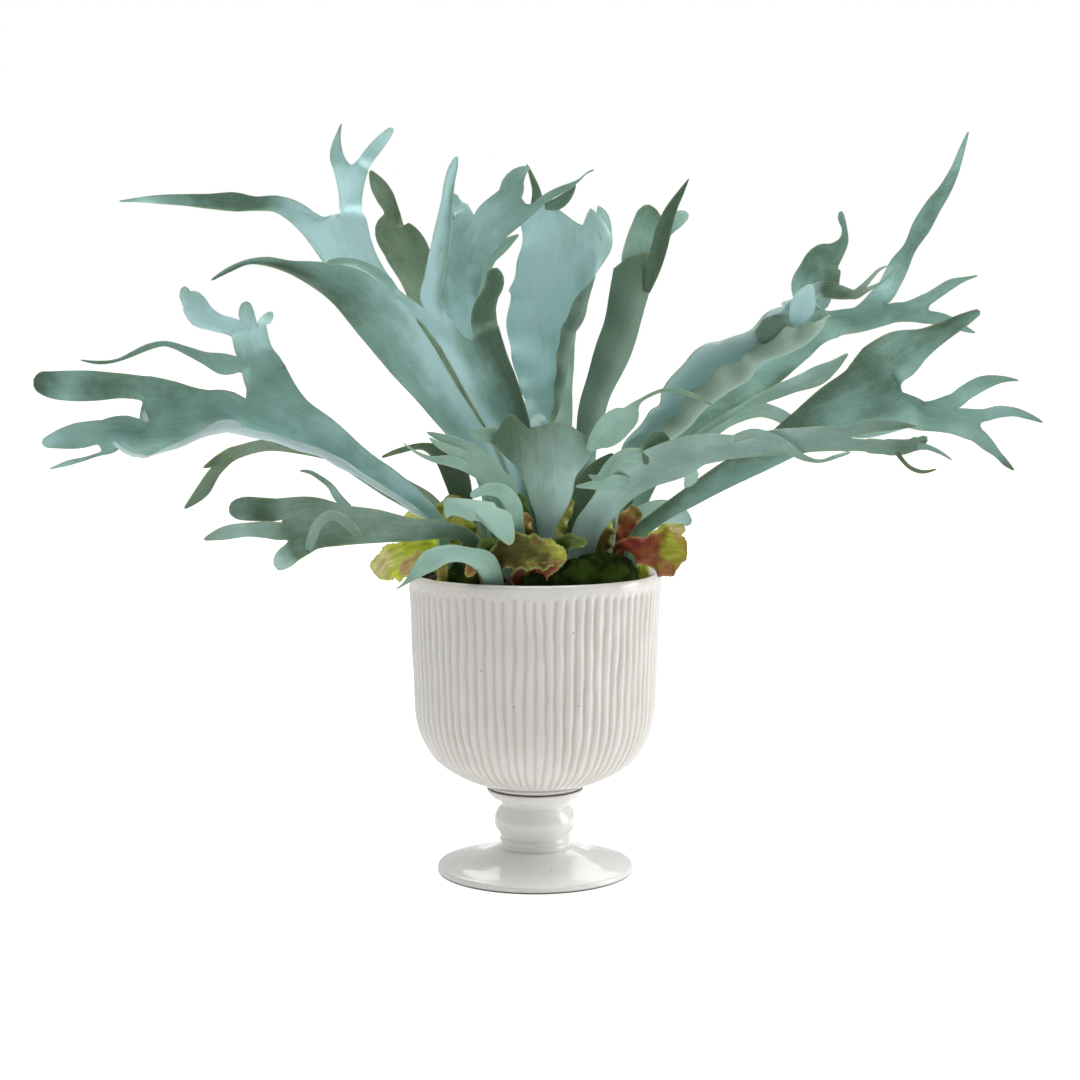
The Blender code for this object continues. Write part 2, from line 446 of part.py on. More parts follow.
def soil_profile():
    """The bowl's inside, drawn in by the gap, with a level top."""
    def wall(z):
        heights, radii = zip(*sorted((h, r) for r, h in bowl_inside()))
        return np.interp(z, heights, radii)
    down = [(r - 2 * GAP, z + 2 * GAP) for r, z in bowl_inside() if 0 < r and z < SOIL_TOP - 5]
    return [(0, SOIL_TOP), (wall(SOIL_TOP) - 2 * GAP, SOIL_TOP)] + down + [(0, BOWL_FLOOR + GAP)]


def make_turned(name, profile, finish):
    """A profile of (radius, height), top to bottom on its outer side, turned about Z."""
    mesh = bpy.data.meshes.new(name)
    points = [(r * MM, 0, z * MM) for r, z in profile]
    mesh.from_pydata(points, [(i, i + 1) for i in range(len(points) - 1)], [])
    body = add_object(name, mesh, finish)
    screw = body.modifiers.new("turning", "SCREW")
    screw.steps = screw.render_steps = TURNED_STEPS
    screw.use_merge_vertices = True
    screw.merge_threshold = 0.00001
    screw.use_smooth_shade = True
    return body


def make_moss(name, x, y, long, wide, high, turn, finish):
    """A low cushion: a sphere with everything below its equator pressed flat."""
    shape = bmesh.new()
    bmesh.ops.create_uvsphere(shape, u_segments=MOSS_SIDES, v_segments=MOSS_RINGS, radius=1)
    c, s = math.cos(math.radians(turn)), math.sin(math.radians(turn))
    for vertex in shape.verts:
        a, b, h = vertex.co.x * long, vertex.co.y * wide, max(vertex.co.z, 0) * high
        vertex.co = ((x + a * c - b * s) * MM, (y + a * s + b * c) * MM, (SEAT + h) * MM)
    mesh = bpy.data.meshes.new(name)
    shape.to_mesh(mesh)
    shape.free()
    mesh.shade_smooth()
    return add_object(name, mesh, finish)


# ---- scene helpers ----
def add_object(name, mesh, finish):
    body = bpy.data.objects.new(name, mesh)
    mesh.materials.append(finish)
    bpy.data.collections[COLLECTION].objects.link(body)
    return body


def make_material(name, colour, roughness):
    material = bpy.data.materials.new(name)
    material.use_nodes = True
    shader = material.node_tree.nodes["Principled BSDF"]
    shader.inputs["Base Color"].default_value = (*colour, 1)
    shader.inputs["Roughness"].default_value = roughness
    shader.inputs["Metallic"].default_value = 0
    return material


def clear_scene():
    for body in list(bpy.data.objects):
        bpy.data.objects.remove(body, do_unlink=True)


def main():
    clear_scene()
    home = bpy.data.collections.new(COLLECTION)
    bpy.context.scene.collection.children.link(home)
    glaze = make_material("white_glaze", (0.78, 0.76, 0.72), 0.2)
    medium = make_material("planting_medium", (0.05, 0.035, 0.02), 0.95)
    frond = make_material("frond_green", (0.25, 0.42, 0.36), 0.55)
    shield = make_material("shield_leaf", (0.42, 0.33, 0.08), 0.6)
    moss = make_material("moss", (0.07, 0.13, 0.02), 0.95)
    make_turned("urn_bowl", bowl_profile(), glaze)
    make_turned("urn_foot", foot_profile(), glaze)
    make_turned("planting_medium", soil_profile(), medium)
    for name, part in FRONDS.items():
        make_blade(name, part, FROND_PITCH, LEAF_THICKNESS, frond)
    for name, part in SHIELDS.items():
        make_blade(name, part, SHIELD_PITCH, SHIELD_THICKNESS, shield)
    for name, cushion in MOSS.items():
        make_moss(name, *cushion, moss)


main()
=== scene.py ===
"""Potted staghorn fern: forked fronds, shield leaves and moss in a fluted white urn on a turned foot.

Everything is in metres with +Z up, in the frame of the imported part. The plant's tables are in
millimetres. A leaf is a ribbon carried along a smooth midrib, which may fork: see grow_lobe.
"""

import math

import bpy
import numpy as np
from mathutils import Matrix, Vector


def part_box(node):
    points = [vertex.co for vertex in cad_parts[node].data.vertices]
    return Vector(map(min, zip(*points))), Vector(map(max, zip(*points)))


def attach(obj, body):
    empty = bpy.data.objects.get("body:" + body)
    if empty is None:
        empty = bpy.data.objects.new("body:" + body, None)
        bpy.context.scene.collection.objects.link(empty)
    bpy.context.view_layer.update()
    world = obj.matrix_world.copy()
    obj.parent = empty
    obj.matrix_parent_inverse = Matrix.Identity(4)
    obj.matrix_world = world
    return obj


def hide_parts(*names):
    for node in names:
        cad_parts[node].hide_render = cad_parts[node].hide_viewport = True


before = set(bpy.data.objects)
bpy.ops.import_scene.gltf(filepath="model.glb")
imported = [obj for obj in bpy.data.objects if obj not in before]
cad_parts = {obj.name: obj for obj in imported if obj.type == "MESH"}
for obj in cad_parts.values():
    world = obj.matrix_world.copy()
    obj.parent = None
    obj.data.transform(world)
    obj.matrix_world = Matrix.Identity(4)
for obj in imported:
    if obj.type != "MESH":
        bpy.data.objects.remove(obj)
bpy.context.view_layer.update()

MM = 0.001
FACING = np.array([0.0, -1.0, 0.0])      # the way an unrolled blade's upper side looks
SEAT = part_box("planting_medium")[1][2] / MM      # level that the leaves and the moss grow from, mm
ROOT = SEAT - 6                          # leaves start this far down, inside the medium


# ---- the plant's shape, mm ----
def lobe(knots, cup=(20, 20), roll=0, curl=1.0, columns=2, slant=0, bulge=0,
         ruffle=(0, 30), teeth=(0, 4), tone=(), lean=0, hem=(), forks=()):
    """One stretch of blade.

    A knot is (x, y, z, half width), and may add its own roll and its left and right cup.
    Roll turns the blade about its midrib. Cup is the angle that each half bends through,
    spread evenly over the width when curl is 1 and towards the margin when it is more.
    Ruffle is the height and length of the waves along the margins, and teeth are the depth
    and spacing of its notches. A lobe with forks ends where they start, and they divide its
    width by their columns. Slant turns that end in the blade's own plane, right side
    forward, and bulge moves its middle forward. A hem is how far the blade goes on past its
    last knot at even steps from left to right, and it has no rounded tip. Tone is how deep
    the green is, from about 0 to 1, at even steps along the lobe from where its parent left
    off, partly the leaf's own colour and partly painted shade and painted light; and lean
    adds depth to its right side and takes it from its left, as painted shade on one side
    and painted light on the other.
    """
    rows = [list(k) + [roll] * (len(k) < 5) + list(cup) * (len(k) < 6) for k in knots]
    if forks:
        columns = sum(f["columns"] for f in forks)
    return {"knots": np.array(rows, float), "curl": curl, "columns": columns, "slant": slant,
            "bulge": bulge, "ruffle": ruffle, "teeth": teeth, "tone": list(tone), "lean": lean,
            "hem": list(hem), "forks": list(forks)}


# tone and lean in these tables carry painted shade and painted light as well as each leaf's own green
FRONDS = {
    "frond_left_antler":
        lobe([(-77, -18, ROOT, 6.5), (-84, -25, 300, 7.5), (-99, -30, 311, 11.5, -4, 220, 15),
              (-118, -36, 325, 14.5, -4, 230, 15), (-137, -42, 338, 15.5, -4, 230, 15),
              (-155, -48, 351, 17.5, -4, 220, 15), (-172, -54, 362, 22, -4, 200, 15),
              (-198, -60, 374, 29.5, -4, 180, 15), (-224, -62, 387, 45.5, -4, 165, 15)], cup=(150, 15),
             curl=1.5, slant=-7, bulge=12, tone=(0.45, 0.3, 0.15, 0.15, 0.35, 0.55), forks=[
            lobe([(-261, -68, 378, 27.5, -4, 165, 8), (-283, -74, 377, 34.5, -4, 150, 8),
                  (-306, -82, 376, 40.5, -4, 120, 8)], cup=(120, 8), curl=1.5, slant=-8, bulge=6,
                 tone=(0.6, 0.6), forks=[
                lobe([(-324, -86, 366, 20, -4, 85, 8), (-339, -88, 367, 15.5, -2, 25, 8)], cup=(25, 8),
                     curl=1.5, bulge=3, tone=(0.6,), forks=[
                    lobe([(-353, -91, 352, 1.5), (-365, -91, 349, 2), (-381, -90, 344, 0.5)], cup=(10, 10),
                         columns=1, tone=(0.2,)),
                    lobe([(-355, -92, 371, 10.5), (-370, -94, 368, 8), (-385, -96, 364, 3)], cup=(15, 15),
                         columns=4, tone=(0.5, 0.1))]),
                lobe([(-324, -84, 409, 10), (-347, -86, 409, 12), (-366, -84, 409, 12),
                      (-381, -80, 410, 10.5), (-395, -76, 414, 7)], cup=(12, 12), tone=(0.7, 0.25, 1.1))]),
            lobe([(-221, -60, 429, 14.5)], cup=(20, 10), slant=8, bulge=2, tone=(0.25,), forks=[
                lobe([(-247, -70, 426, 8.5), (-261, -76, 431, 5), (-272, -80, 436, 3.5),
                      (-290, -82, 442, 2.5), (-304, -80, 439, 2.5), (-316, -77, 434, 2),
                      (-328, -76, 429, 1.5), (-343, -74, 427, 1.5), (-359, -72, 429, 0.5)], cup=(30, 30),
                     columns=1, tone=(0.6, 0.5, 0.45)),
                lobe([(-228, -50, 451, 15)], cup=(20, 10), bulge=1, tone=(0.15,), forks=[
                    lobe([(-256, -54, 459, 8.5), (-266, -56, 465, 10.5), (-272, -58, 475, 9.5),
                          (-277, -60, 481, 5), (-277, -60, 487, 2)], cup=(60, 20), curl=2,
                         tone=(0, 0.05, 0.3)),
                    lobe([(-231, -44, 465, 6.5), (-232, -38, 476, 3)], cup=(15, 15), columns=1, tone=(0.6,)),
                    lobe([(-215, -42, 461, 4.5), (-211, -38, 467, 2)], cup=(15, 15), columns=1,
                         tone=(0.3,))])])]),
    "frond_top_left":
        lobe([(-32, 45, ROOT, 7.5), (-40, 62, 320, 8.5), (-67, 85, 375, 10.5), (-100, 108, 433, 14),
              (-135, 125, 477, 18.5), (-162, 138, 514, 22.5), (-175, 142, 540, 28)], cup=(15, 15), slant=-6,
             bulge=15, tone=(0.3, 0.3, 0.2, 0.1, 0), forks=[
            lobe([(-215, 138, 558, 9.5), (-228, 134, 563, 7.5), (-245, 130, 563, 6), (-264, 124, 564, 8.5),
                  (-284, 118, 564, 7), (-305, 112, 565, 5), (-332, 106, 565, 3.5), (-360, 100, 563, 1)],
                 cup=(30, 20), tone=(0.45, 0.95, 0.85, 0.45, 0.35)),
            lobe([(-164, 152, 562, 10), (-164, 156, 576, 11.5), (-164, 160, 593, 15.5)], bulge=6,
                 tone=(0.05, 0.15), lean=0.1, forks=[
                lobe([(-177, 163, 607, 6.5), (-177, 162, 615, 5), (-175, 159, 625, 2.5),
                      (-172, 156, 635, 0.5)], columns=1, tone=(0.1, 0.25)),
                lobe([(-151, 166, 604, 6), (-145, 168, 612, 6), (-136, 172, 623, 5), (-128, 177, 633, 2)],
                     columns=1, tone=(0.3, 0.35))])]),
    "frond_left_lance":
        lobe([(-25, -18, ROOT, 8), (-31, -30, 323, 10.5), (-52, -42, 364, 14.5), (-76, -52, 397, 17.5),
              (-99, -60, 429, 21.5), (-119, -66, 456, 23), (-144, -70, 481, 20.5), (-172, -72, 495, 12),
              (-194, -72, 502, 5.5), (-211, -72, 506, 4), (-224, -70, 506, 2.5), (-239, -67, 501, 2),
              (-256, -62, 492, 0.5)], cup=(60, 20), tone=(0.3, 0.25, 0.2, 0.2, 0.55, 1, 0.6), lean=-0.4),
    "frond_back_left_olive":
        lobe([(-29, 25, ROOT, 7.5), (-36, 42, 334, 9.5), (-52, 55, 376, 10), (-73, 68, 420, 12),
              (-90, 80, 470, 14.5), (-100, 88, 498, 16.5), (-113, 95, 524, 19), (-125, 99, 540, 14),
              (-124, 102, 553, 7), (-130, 104, 567, 8), (-136, 105, 577, 7), (-143, 106, 590, 1)],
             cup=(15, 15), tone=(0.7, 0.6, 0.7)),
    "frond_centre_left":
        lobe([(-3, -12, ROOT, 9), (-9, -24, 331, 11.5), (-19, -36, 372, 17), (-33, -44, 405, 21.5),
              (-43, -50, 427, 23), (-50, -52, 444, 25)], cup=(30, 30), tone=(0.5, 0.4, 0.45, 0.6),
              lean=0.7, forks=[
            lobe([(-78, -55, 459, 10)], tone=(0.15,), forks=[
                lobe([(-99, -66, 472, 5), (-109, -72, 481, 4), (-117, -80, 492, 4), (-130, -84, 501, 3.5),
                      (-140, -84, 505, 3), (-154, -82, 506, 2.5), (-163, -80, 505, 1)], cup=(40, 20),
                     columns=1, tone=(0.3, 0.5)),
                lobe([(-81, -56, 476, 10), (-79, -56, 492, 9.5), (-75, -54, 516, 8.5), (-71, -51, 539, 7),
                      (-69, -50, 555, 5.5), (-67, -47, 571, 5), (-64, -45, 583, 3.5), (-62, -44, 590, 1)],
                     cup=(30, 75), columns=1, tone=(0.1, 0.1, 0.15), lean=0.35)]),
            lobe([(-40, -46, 458, 11), (-40, -44, 468, 10), (-36, -42, 480, 7.5), (-32, -40, 490, 7.5),
                  (-32, -39, 497, 6.5), (-31, -38, 502, 4)], cup=(-10, -40), tone=(0.95, 1, 1, 0.95))]),
    "frond_centre_blue":
        lobe([(-13, 12, ROOT, 7.5), (-23, 16, 353, 10), (-37, 16, 411, 15), (-54, 12, 453, 20),
              (-60, 6, 485, 18), (-57, 0, 516, 21), (-47, -5, 536, 23.5)], cup=(15, 15), bulge=8,
             tone=(0.3, 0.2, 0.2), forks=[
            lobe([(-64, -4, 552, 6.5), (-67, -4, 564, 2.5)], cup=(10, 10), columns=1, tone=(0.4,)),
            lobe([(-17, -11, 554, 16.5)], cup=(10, 10), bulge=8, tone=(0.4,), forks=[
                lobe([(-17, -13, 572, 8.5), (-13, -14, 578, 6), (-4, -15, 584, 1)], columns=1, tone=(0.35,)),
                lobe([(11, -18, 560, 3.5), (21, -22, 565, 3), (30, -26, 569, 2), (35, -28, 572, 1),
                      (42, -32, 578, 0.5), (47, -36, 580, 0.5)], cup=(30, 30), columns=1,
                      tone=(0.4, 0.5))])]),
    "frond_centre_wide":
        lobe([(12, 12, ROOT, 8.5), (8, 18, 336, 10), (6, 24, 373, 16, 0, 15, 160), (12, 28, 394, 22.5),
              (13, 31, 423, 31.5), (16, 34, 453, 40.5), (23, 33, 473, 46), (26, 30, 491, 43.5, 0, 10, 165),
              (27, 26, 509, 39, 0, 10, 80), (27, 22, 527, 38, 0, 8, 15)], cup=(10, 200), curl=1.5, columns=6,
             ruffle=(2, 26), tone=(0.2, 0.15, 0.1, 0.2, 0.1, 0.05, 0.15),
             hem=(17, 21, 25, 28, 31, 35, 26, 22, 18, 14, 12, 27, 24, 20, 14, 5), lean=0.15),
    "frond_front_trumpet":
        lobe([(10, -46, ROOT, 5.5), (10, -58, 299, 9), (12, -72, 321, 17), (11, -84, 343, 23),
              (10, -90, 357, 34), (9, -94, 369, 44)], cup=(10, 10), columns=9, ruffle=(0.5, 24),
             tone=(0, 0, 0.2, 0.8), hem=(2, 9, 19, 23, 18, 9, 8, 10, 12, 13, 12, 8, 2, -3, -4, -6),
             lean=-0.3),
    "frond_rolled":
        lobe([(42, 8, ROOT, 8.5), (44, 14, 336, 11.5, 150, 60, 60), (52, 22, 389, 16, 150, 60, 60),
              (71, 30, 435, 21, 150, 60, 60), (79, 34, 461, 21.5, 150, 60, 60),
              (86, 38, 490, 24, 150, 55, 55)], cup=(60, 60), roll=150, columns=5, tone=(0.5, 0.5, 0.8, 1.1),
             hem=(22, 33, 30, 26, 20, 9)),
    # tone below 0 on this frond is painted light in its shaded channel
    "frond_right_wavy":
        lobe([(64, -2, ROOT, 7.5), (68, -8, 313, 11.5), (83, -14, 351, 21.5), (118, -20, 382, 37.5),
              (133, -26, 402, 44.5), (146, -28, 412, 50), (161, -28, 421, 47), (177, -28, 433, 34.5),
              (197, -27, 444, 42), (214, -26, 454, 44.5), (226, -27, 472, 19, 0, 45, 80)], cup=(100, 210),
             ruffle=(4.5, 29), tone=(0.4, 0, -0.3, -0.3), forks=[
            lobe([(231, -28, 485, 7), (244, -29, 483, 6.5), (256, -30, 481, 4)], cup=(30, 30),
                 tone=(0.9, 0.7), forks=[
                lobe([(264, -31, 487, 2.5), (271, -33, 495, 2), (277, -34, 501, 1.5), (284, -36, 504, 0.5)],
                     cup=(25, 25), columns=1),
                lobe([(268, -31, 485, 2), (278, -32, 490, 1.5), (288, -32, 499, 1.5), (295, -33, 505, 0.5)],
                     cup=(25, 25), columns=1)]),
            lobe([(234, -32, 462, 3.5), (234, -34, 469, 2)], cup=(30, 30), columns=1, tone=(0.3,))]),
    "frond_right_long":
        lobe([(62, 26, ROOT, 7.5), (79, 34, 318, 8.5), (108, 46, 355, 10), (142, 58, 383, 12),
              (177, 70, 406, 15.5), (207, 80, 421, 13), (225, 85, 436, 13), (241, 90, 452, 15),
              (248, 94, 459, 20)], cup=(15, 30), slant=-6, bulge=9, tone=(0.75, 0.7, 0.6, 0.5, 0.35),
             lean=0.25, forks=[
            lobe([(242, 99, 484, 20), (247, 104, 502, 18.5), (253, 110, 514, 15), (262, 113, 521, 8.5),
                  (269, 115, 530, 4.5), (270, 116, 539, 2.5), (267, 118, 551, 3), (267, 119, 556, 1.5)],
                 cup=(15, 15), tone=(0.85, 0.8, 0.6)),
            lobe([(281, 93, 462, 11.5), (298, 92, 471, 17)], cup=(15, 40), bulge=5, tone=(0.45, 0.5),
                 lean=0.2, forks=[
                lobe([(309, 98, 496, 9), (316, 102, 509, 8.5), (324, 104, 522, 6), (335, 106, 542, 8.5),
                      (345, 108, 559, 7.5), (355, 109, 573, 5.5), (363, 110, 589, 4.5), (369, 112, 605, 3),
                      (376, 114, 624, 0.5)], tone=(0.6, 0.7, 0.5, 0.45)),
                lobe([(322, 90, 468, 9.5), (335, 88, 470, 13)], cup=(15, 40), bulge=4, tone=(0.5,),
                     lean=0.2, forks=[
                    lobe([(347, 86, 485, 5), (358, 84, 492, 4.5), (369, 83, 496, 2), (380, 82, 499, 0.5)],
                         columns=1, tone=(0.35, 0.4)),
                    lobe([(348, 84, 462, 5.5), (360, 81, 458, 4.5), (370, 78, 453, 2.5),
                          (378, 76, 450, 0.5)], columns=1, tone=(0.5,))])])]),
    "frond_right_antler":
        lobe([(79, -20, ROOT, 7.5), (88, -21, 289, 6.5), (101, -24, 300, 6.5), (126, -28, 317, 8.5),
              (151, -33, 333, 10.5), (186, -37, 352, 12.5), (219, -38, 373, 17.5), (242, -38, 387, 23.5),
              (265, -36, 395, 31.5), (283, -33, 405, 38.5)], cup=(15, 30), bulge=12,
             tone=(0.75, 0.75, 0.75, 0.7, 0.65), lean=-0.3, forks=[
            lobe([(297, -24, 434, 20.5), (317, -17, 443, 11.5), (334, -12, 452, 8), (349, -10, 460, 6),
                  (364, -8, 468, 2.5)], cup=(15, 15), columns=5, tone=(0.65, 0.8, 1, 0.9), lean=-0.1),
            lobe([(313, -42, 384, 11.5), (332, -46, 385, 15.5)], cup=(15, 25), bulge=5, tone=(0.5, 0.4),
                 forks=[
                lobe([(347, -43, 403, 6.5), (361, -40, 410, 6), (376, -38, 413, 3), (391, -36, 412, 0.5)],
                     columns=1, tone=(0.45, 0.4)),
                lobe([(352, -52, 377, 13)], cup=(15, 15), bulge=5, tone=(0.4,), forks=[
                    lobe([(369, -66, 388, 5), (379, -70, 388, 4), (389, -77, 385, 3), (400, -84, 380, 0.5)],
                         columns=1, tone=(0.3, 0.6)),
                    lobe([(362, -52, 362, 5.5), (372, -50, 353, 3), (379, -49, 346, 2.5),
                          (386, -48, 340, 0.5)], columns=1, tone=(0.45, 0.9))])])]),
    "frond_front_right":
        lobe([(39, -42, ROOT, 7.5), (43, -50, 295, 12), (54, -62, 311, 12.5), (70, -78, 331, 14),
              (88, -92, 344, 15), (111, -106, 354, 16), (132, -115, 362, 12), (158, -126, 364, 9),
              (188, -138, 368, 10.5), (212, -150, 371, 10), (231, -158, 371, 9)], cup=(30, 20), bulge=3,
             tone=(0.5, 0.2, 0.2, 0.3, 0.3, 0.3), forks=[
            lobe([(249, -164, 381, 5.5), (266, -167, 382, 4), (285, -170, 381, 0.5)], columns=1,
                 tone=(0.3, 0.5)),
            lobe([(247, -163, 367, 6), (263, -170, 366, 6.5), (277, -176, 367, 7), (287, -180, 371, 5),
                  (291, -181, 374, 3)], cup=(60, 20), curl=2, teeth=(1, 3), tone=(0.4, 0.6))]),
    "frond_low_left":
        lobe([(-40, -50, ROOT, 6.5), (-53, -62, 287, 6), (-74, -80, 295, 7.5), (-99, -96, 297, 9.5),
              (-125, -112, 301, 13.5), (-149, -122, 303, 16.5), (-171, -132, 305, 21),
              (-189, -139, 301, 25.5)], bulge=2, tone=(0.95, 0.95, 0.85, 0.75, 0.8, 0.85), lean=-0.1, forks=[
            lobe([(-192, -146, 277, 7.5), (-195, -150, 271, 4)], tone=(0.3, 0.1)),
            lobe([(-204, -147, 302, 7), (-216, -150, 302, 5.5), (-237, -155, 299, 4.5),
                  (-250, -158, 295, 1)], cup=(20, 30), tone=(0.4, 0.5)),
            lobe([(-208, -142, 317, 9.5), (-224, -146, 317, 8.5), (-231, -148, 314, 6)], cup=(20, 30),
                 tone=(0.95, 0.75, 0.6))]),
    "frond_small_left":
        lobe([(-19, -40, ROOT, 6.5), (-19, -56, 307, 6.5), (-23, -70, 328, 7), (-36, -84, 341, 9.5),
              (-49, -92, 351, 11)], tone=(0.2, 0.2), forks=[
            lobe([(-66, -100, 351, 4.5), (-80, -106, 353, 2.5), (-93, -110, 359, 1), (-102, -113, 366, 0.5)],
                 columns=1, tone=(0.3, 0.1)),
            lobe([(-65, -98, 359, 4), (-74, -100, 363, 2.5), (-82, -102, 369, 0.5)], columns=1, tone=(0.1,)),
            lobe([(-63, -94, 365, 4.5), (-74, -95, 369, 3), (-84, -96, 373, 0.5)], columns=1, tone=(0.3,))]),
    "frond_drooping_pale":
        lobe([(-14, -58, ROOT, 5), (-15, -76, 299, 6.5), (-19, -96, 320, 6.5), (-27, -104, 328, 6),
              (-38, -108, 329, 4.5), (-50, -112, 324, 2.5)], cup=(-15, -15), tone=(0.2, 0.15)),
    "frond_over_rim":
        lobe([(-33, -80, ROOT, 8.5), (-34, -88, 259, 8.5), (-39, -94, 270, 9.5), (-52, -102, 277, 6.5),
              (-69, -110, 279, 7), (-83, -115, 273, 8), (-92, -118, 265, 4.5), (-101, -118, 257, 1.5),
              (-108, -117, 252, 0.5)], cup=(-20, -20), tone=(0.4, 0.2, 0.1, 0.2, 0.3)),
    "frond_back_left_thin":
        lobe([(-67, 22, ROOT, 6), (-84, 36, 303, 6), (-115, 52, 324, 5), (-159, 66, 341, 5),
              (-203, 76, 351, 5), (-236, 82, 353, 5), (-259, 84, 347, 6)], tone=(0.5, 0.45), forks=[
            lobe([(-277, 88, 331, 5), (-290, 92, 313, 6), (-307, 96, 297, 1)], columns=1, tone=(0.5,)),
            lobe([(-273, 80, 341, 4.5), (-287, 78, 334, 0.5)], columns=1, tone=(0.85,))]),
    "frond_arching_olive":
        lobe([(-54, 8, ROOT, 7.5), (-60, 12, 307, 9), (-66, 10, 332, 11), (-75, 4, 348, 9),
              (-92, -4, 357, 3.5), (-111, -12, 354, 2.5), (-125, -18, 349, 0.5)], cup=(25, 25),
             tone=(0.8, 1, 0.9, 0.6)),
    "frond_back_right_thin":
        lobe([(77, 44, ROOT, 6), (102, 52, 330, 6), (141, 66, 366, 5), (181, 80, 389, 6),
              (221, 92, 404, 7), (248, 98, 414, 8.5), (261, 102, 422, 4.5), (273, 106, 432, 0.5)],
             cup=(30, 30), tone=(0.4,)),
    "frond_back_right_arch":
        lobe([(55, 38, ROOT, 6), (83, 62, 306, 6), (112, 82, 332, 6), (144, 94, 357, 6),
              (171, 104, 376, 7), (198, 114, 383, 7), (222, 122, 374, 6), (240, 128, 359, 3.5)],
             cup=(30, 30), tone=(0.4, 0.4, 0.6)),
    "frond_low_right":
        lobe([(78, 14, ROOT, 7.5), (93, 22, 297, 11), (109, 30, 300, 11), (125, 38, 294, 7),
              (132, 42, 288, 2.5)], cup=(25, 25), tone=(0.5, 0.35)),
    "frond_back_low_left":
        lobe([(-33, 62, ROOT, 7), (-49, 76, 287, 8), (-83, 100, 290, 8), (-120, 130, 307, 9),
              (-167, 160, 338, 12.5), (-205, 178, 364, 15.5), (-228, 184, 376, 15.5)], forks=[
            lobe([(-249, 186, 371, 7.5), (-269, 186, 369, 1)], columns=1),
            lobe([(-246, 190, 392, 8), (-257, 194, 411, 1)], columns=1)]),
    "frond_back_low_right":
        lobe([(43, 52, ROOT, 7), (58, 66, 303, 8.5), (91, 92, 325, 10.5), (137, 125, 341, 10.5),
              (193, 152, 348, 9), (240, 170, 353, 10), (276, 182, 371, 16.5), (293, 186, 382, 20)], forks=[
            lobe([(312, 190, 402, 8), (325, 194, 420, 1)], columns=1),
            lobe([(319, 188, 380, 8), (340, 190, 375, 1)], columns=1)]),
    "frond_back_upright":
        lobe([(23, 46, ROOT, 7), (23, 72, 332, 8.5), (20, 108, 391, 13), (17, 140, 448, 19.5),
              (19, 158, 493, 24), (20, 164, 513, 25)], tone=(0.7, 0.6), forks=[
            lobe([(4, 168, 529, 10), (-4, 172, 543, 2)], columns=1),
            lobe([(35, 168, 526, 10), (40, 172, 537, 2)], columns=1)]),
    "frond_back_arching":
        lobe([(-6, 56, ROOT, 7), (-13, 92, 331, 8.5), (-24, 132, 373, 12.5), (-32, 166, 393, 16.5),
              (-32, 180, 395, 18)], cup=(-20, -20), forks=[
            lobe([(-49, 192, 385, 9), (-54, 198, 370, 2)], cup=(-20, -20), columns=1),
            lobe([(-21, 194, 387, 9), (-19, 200, 370, 2)], cup=(-20, -20), columns=1)]),
}

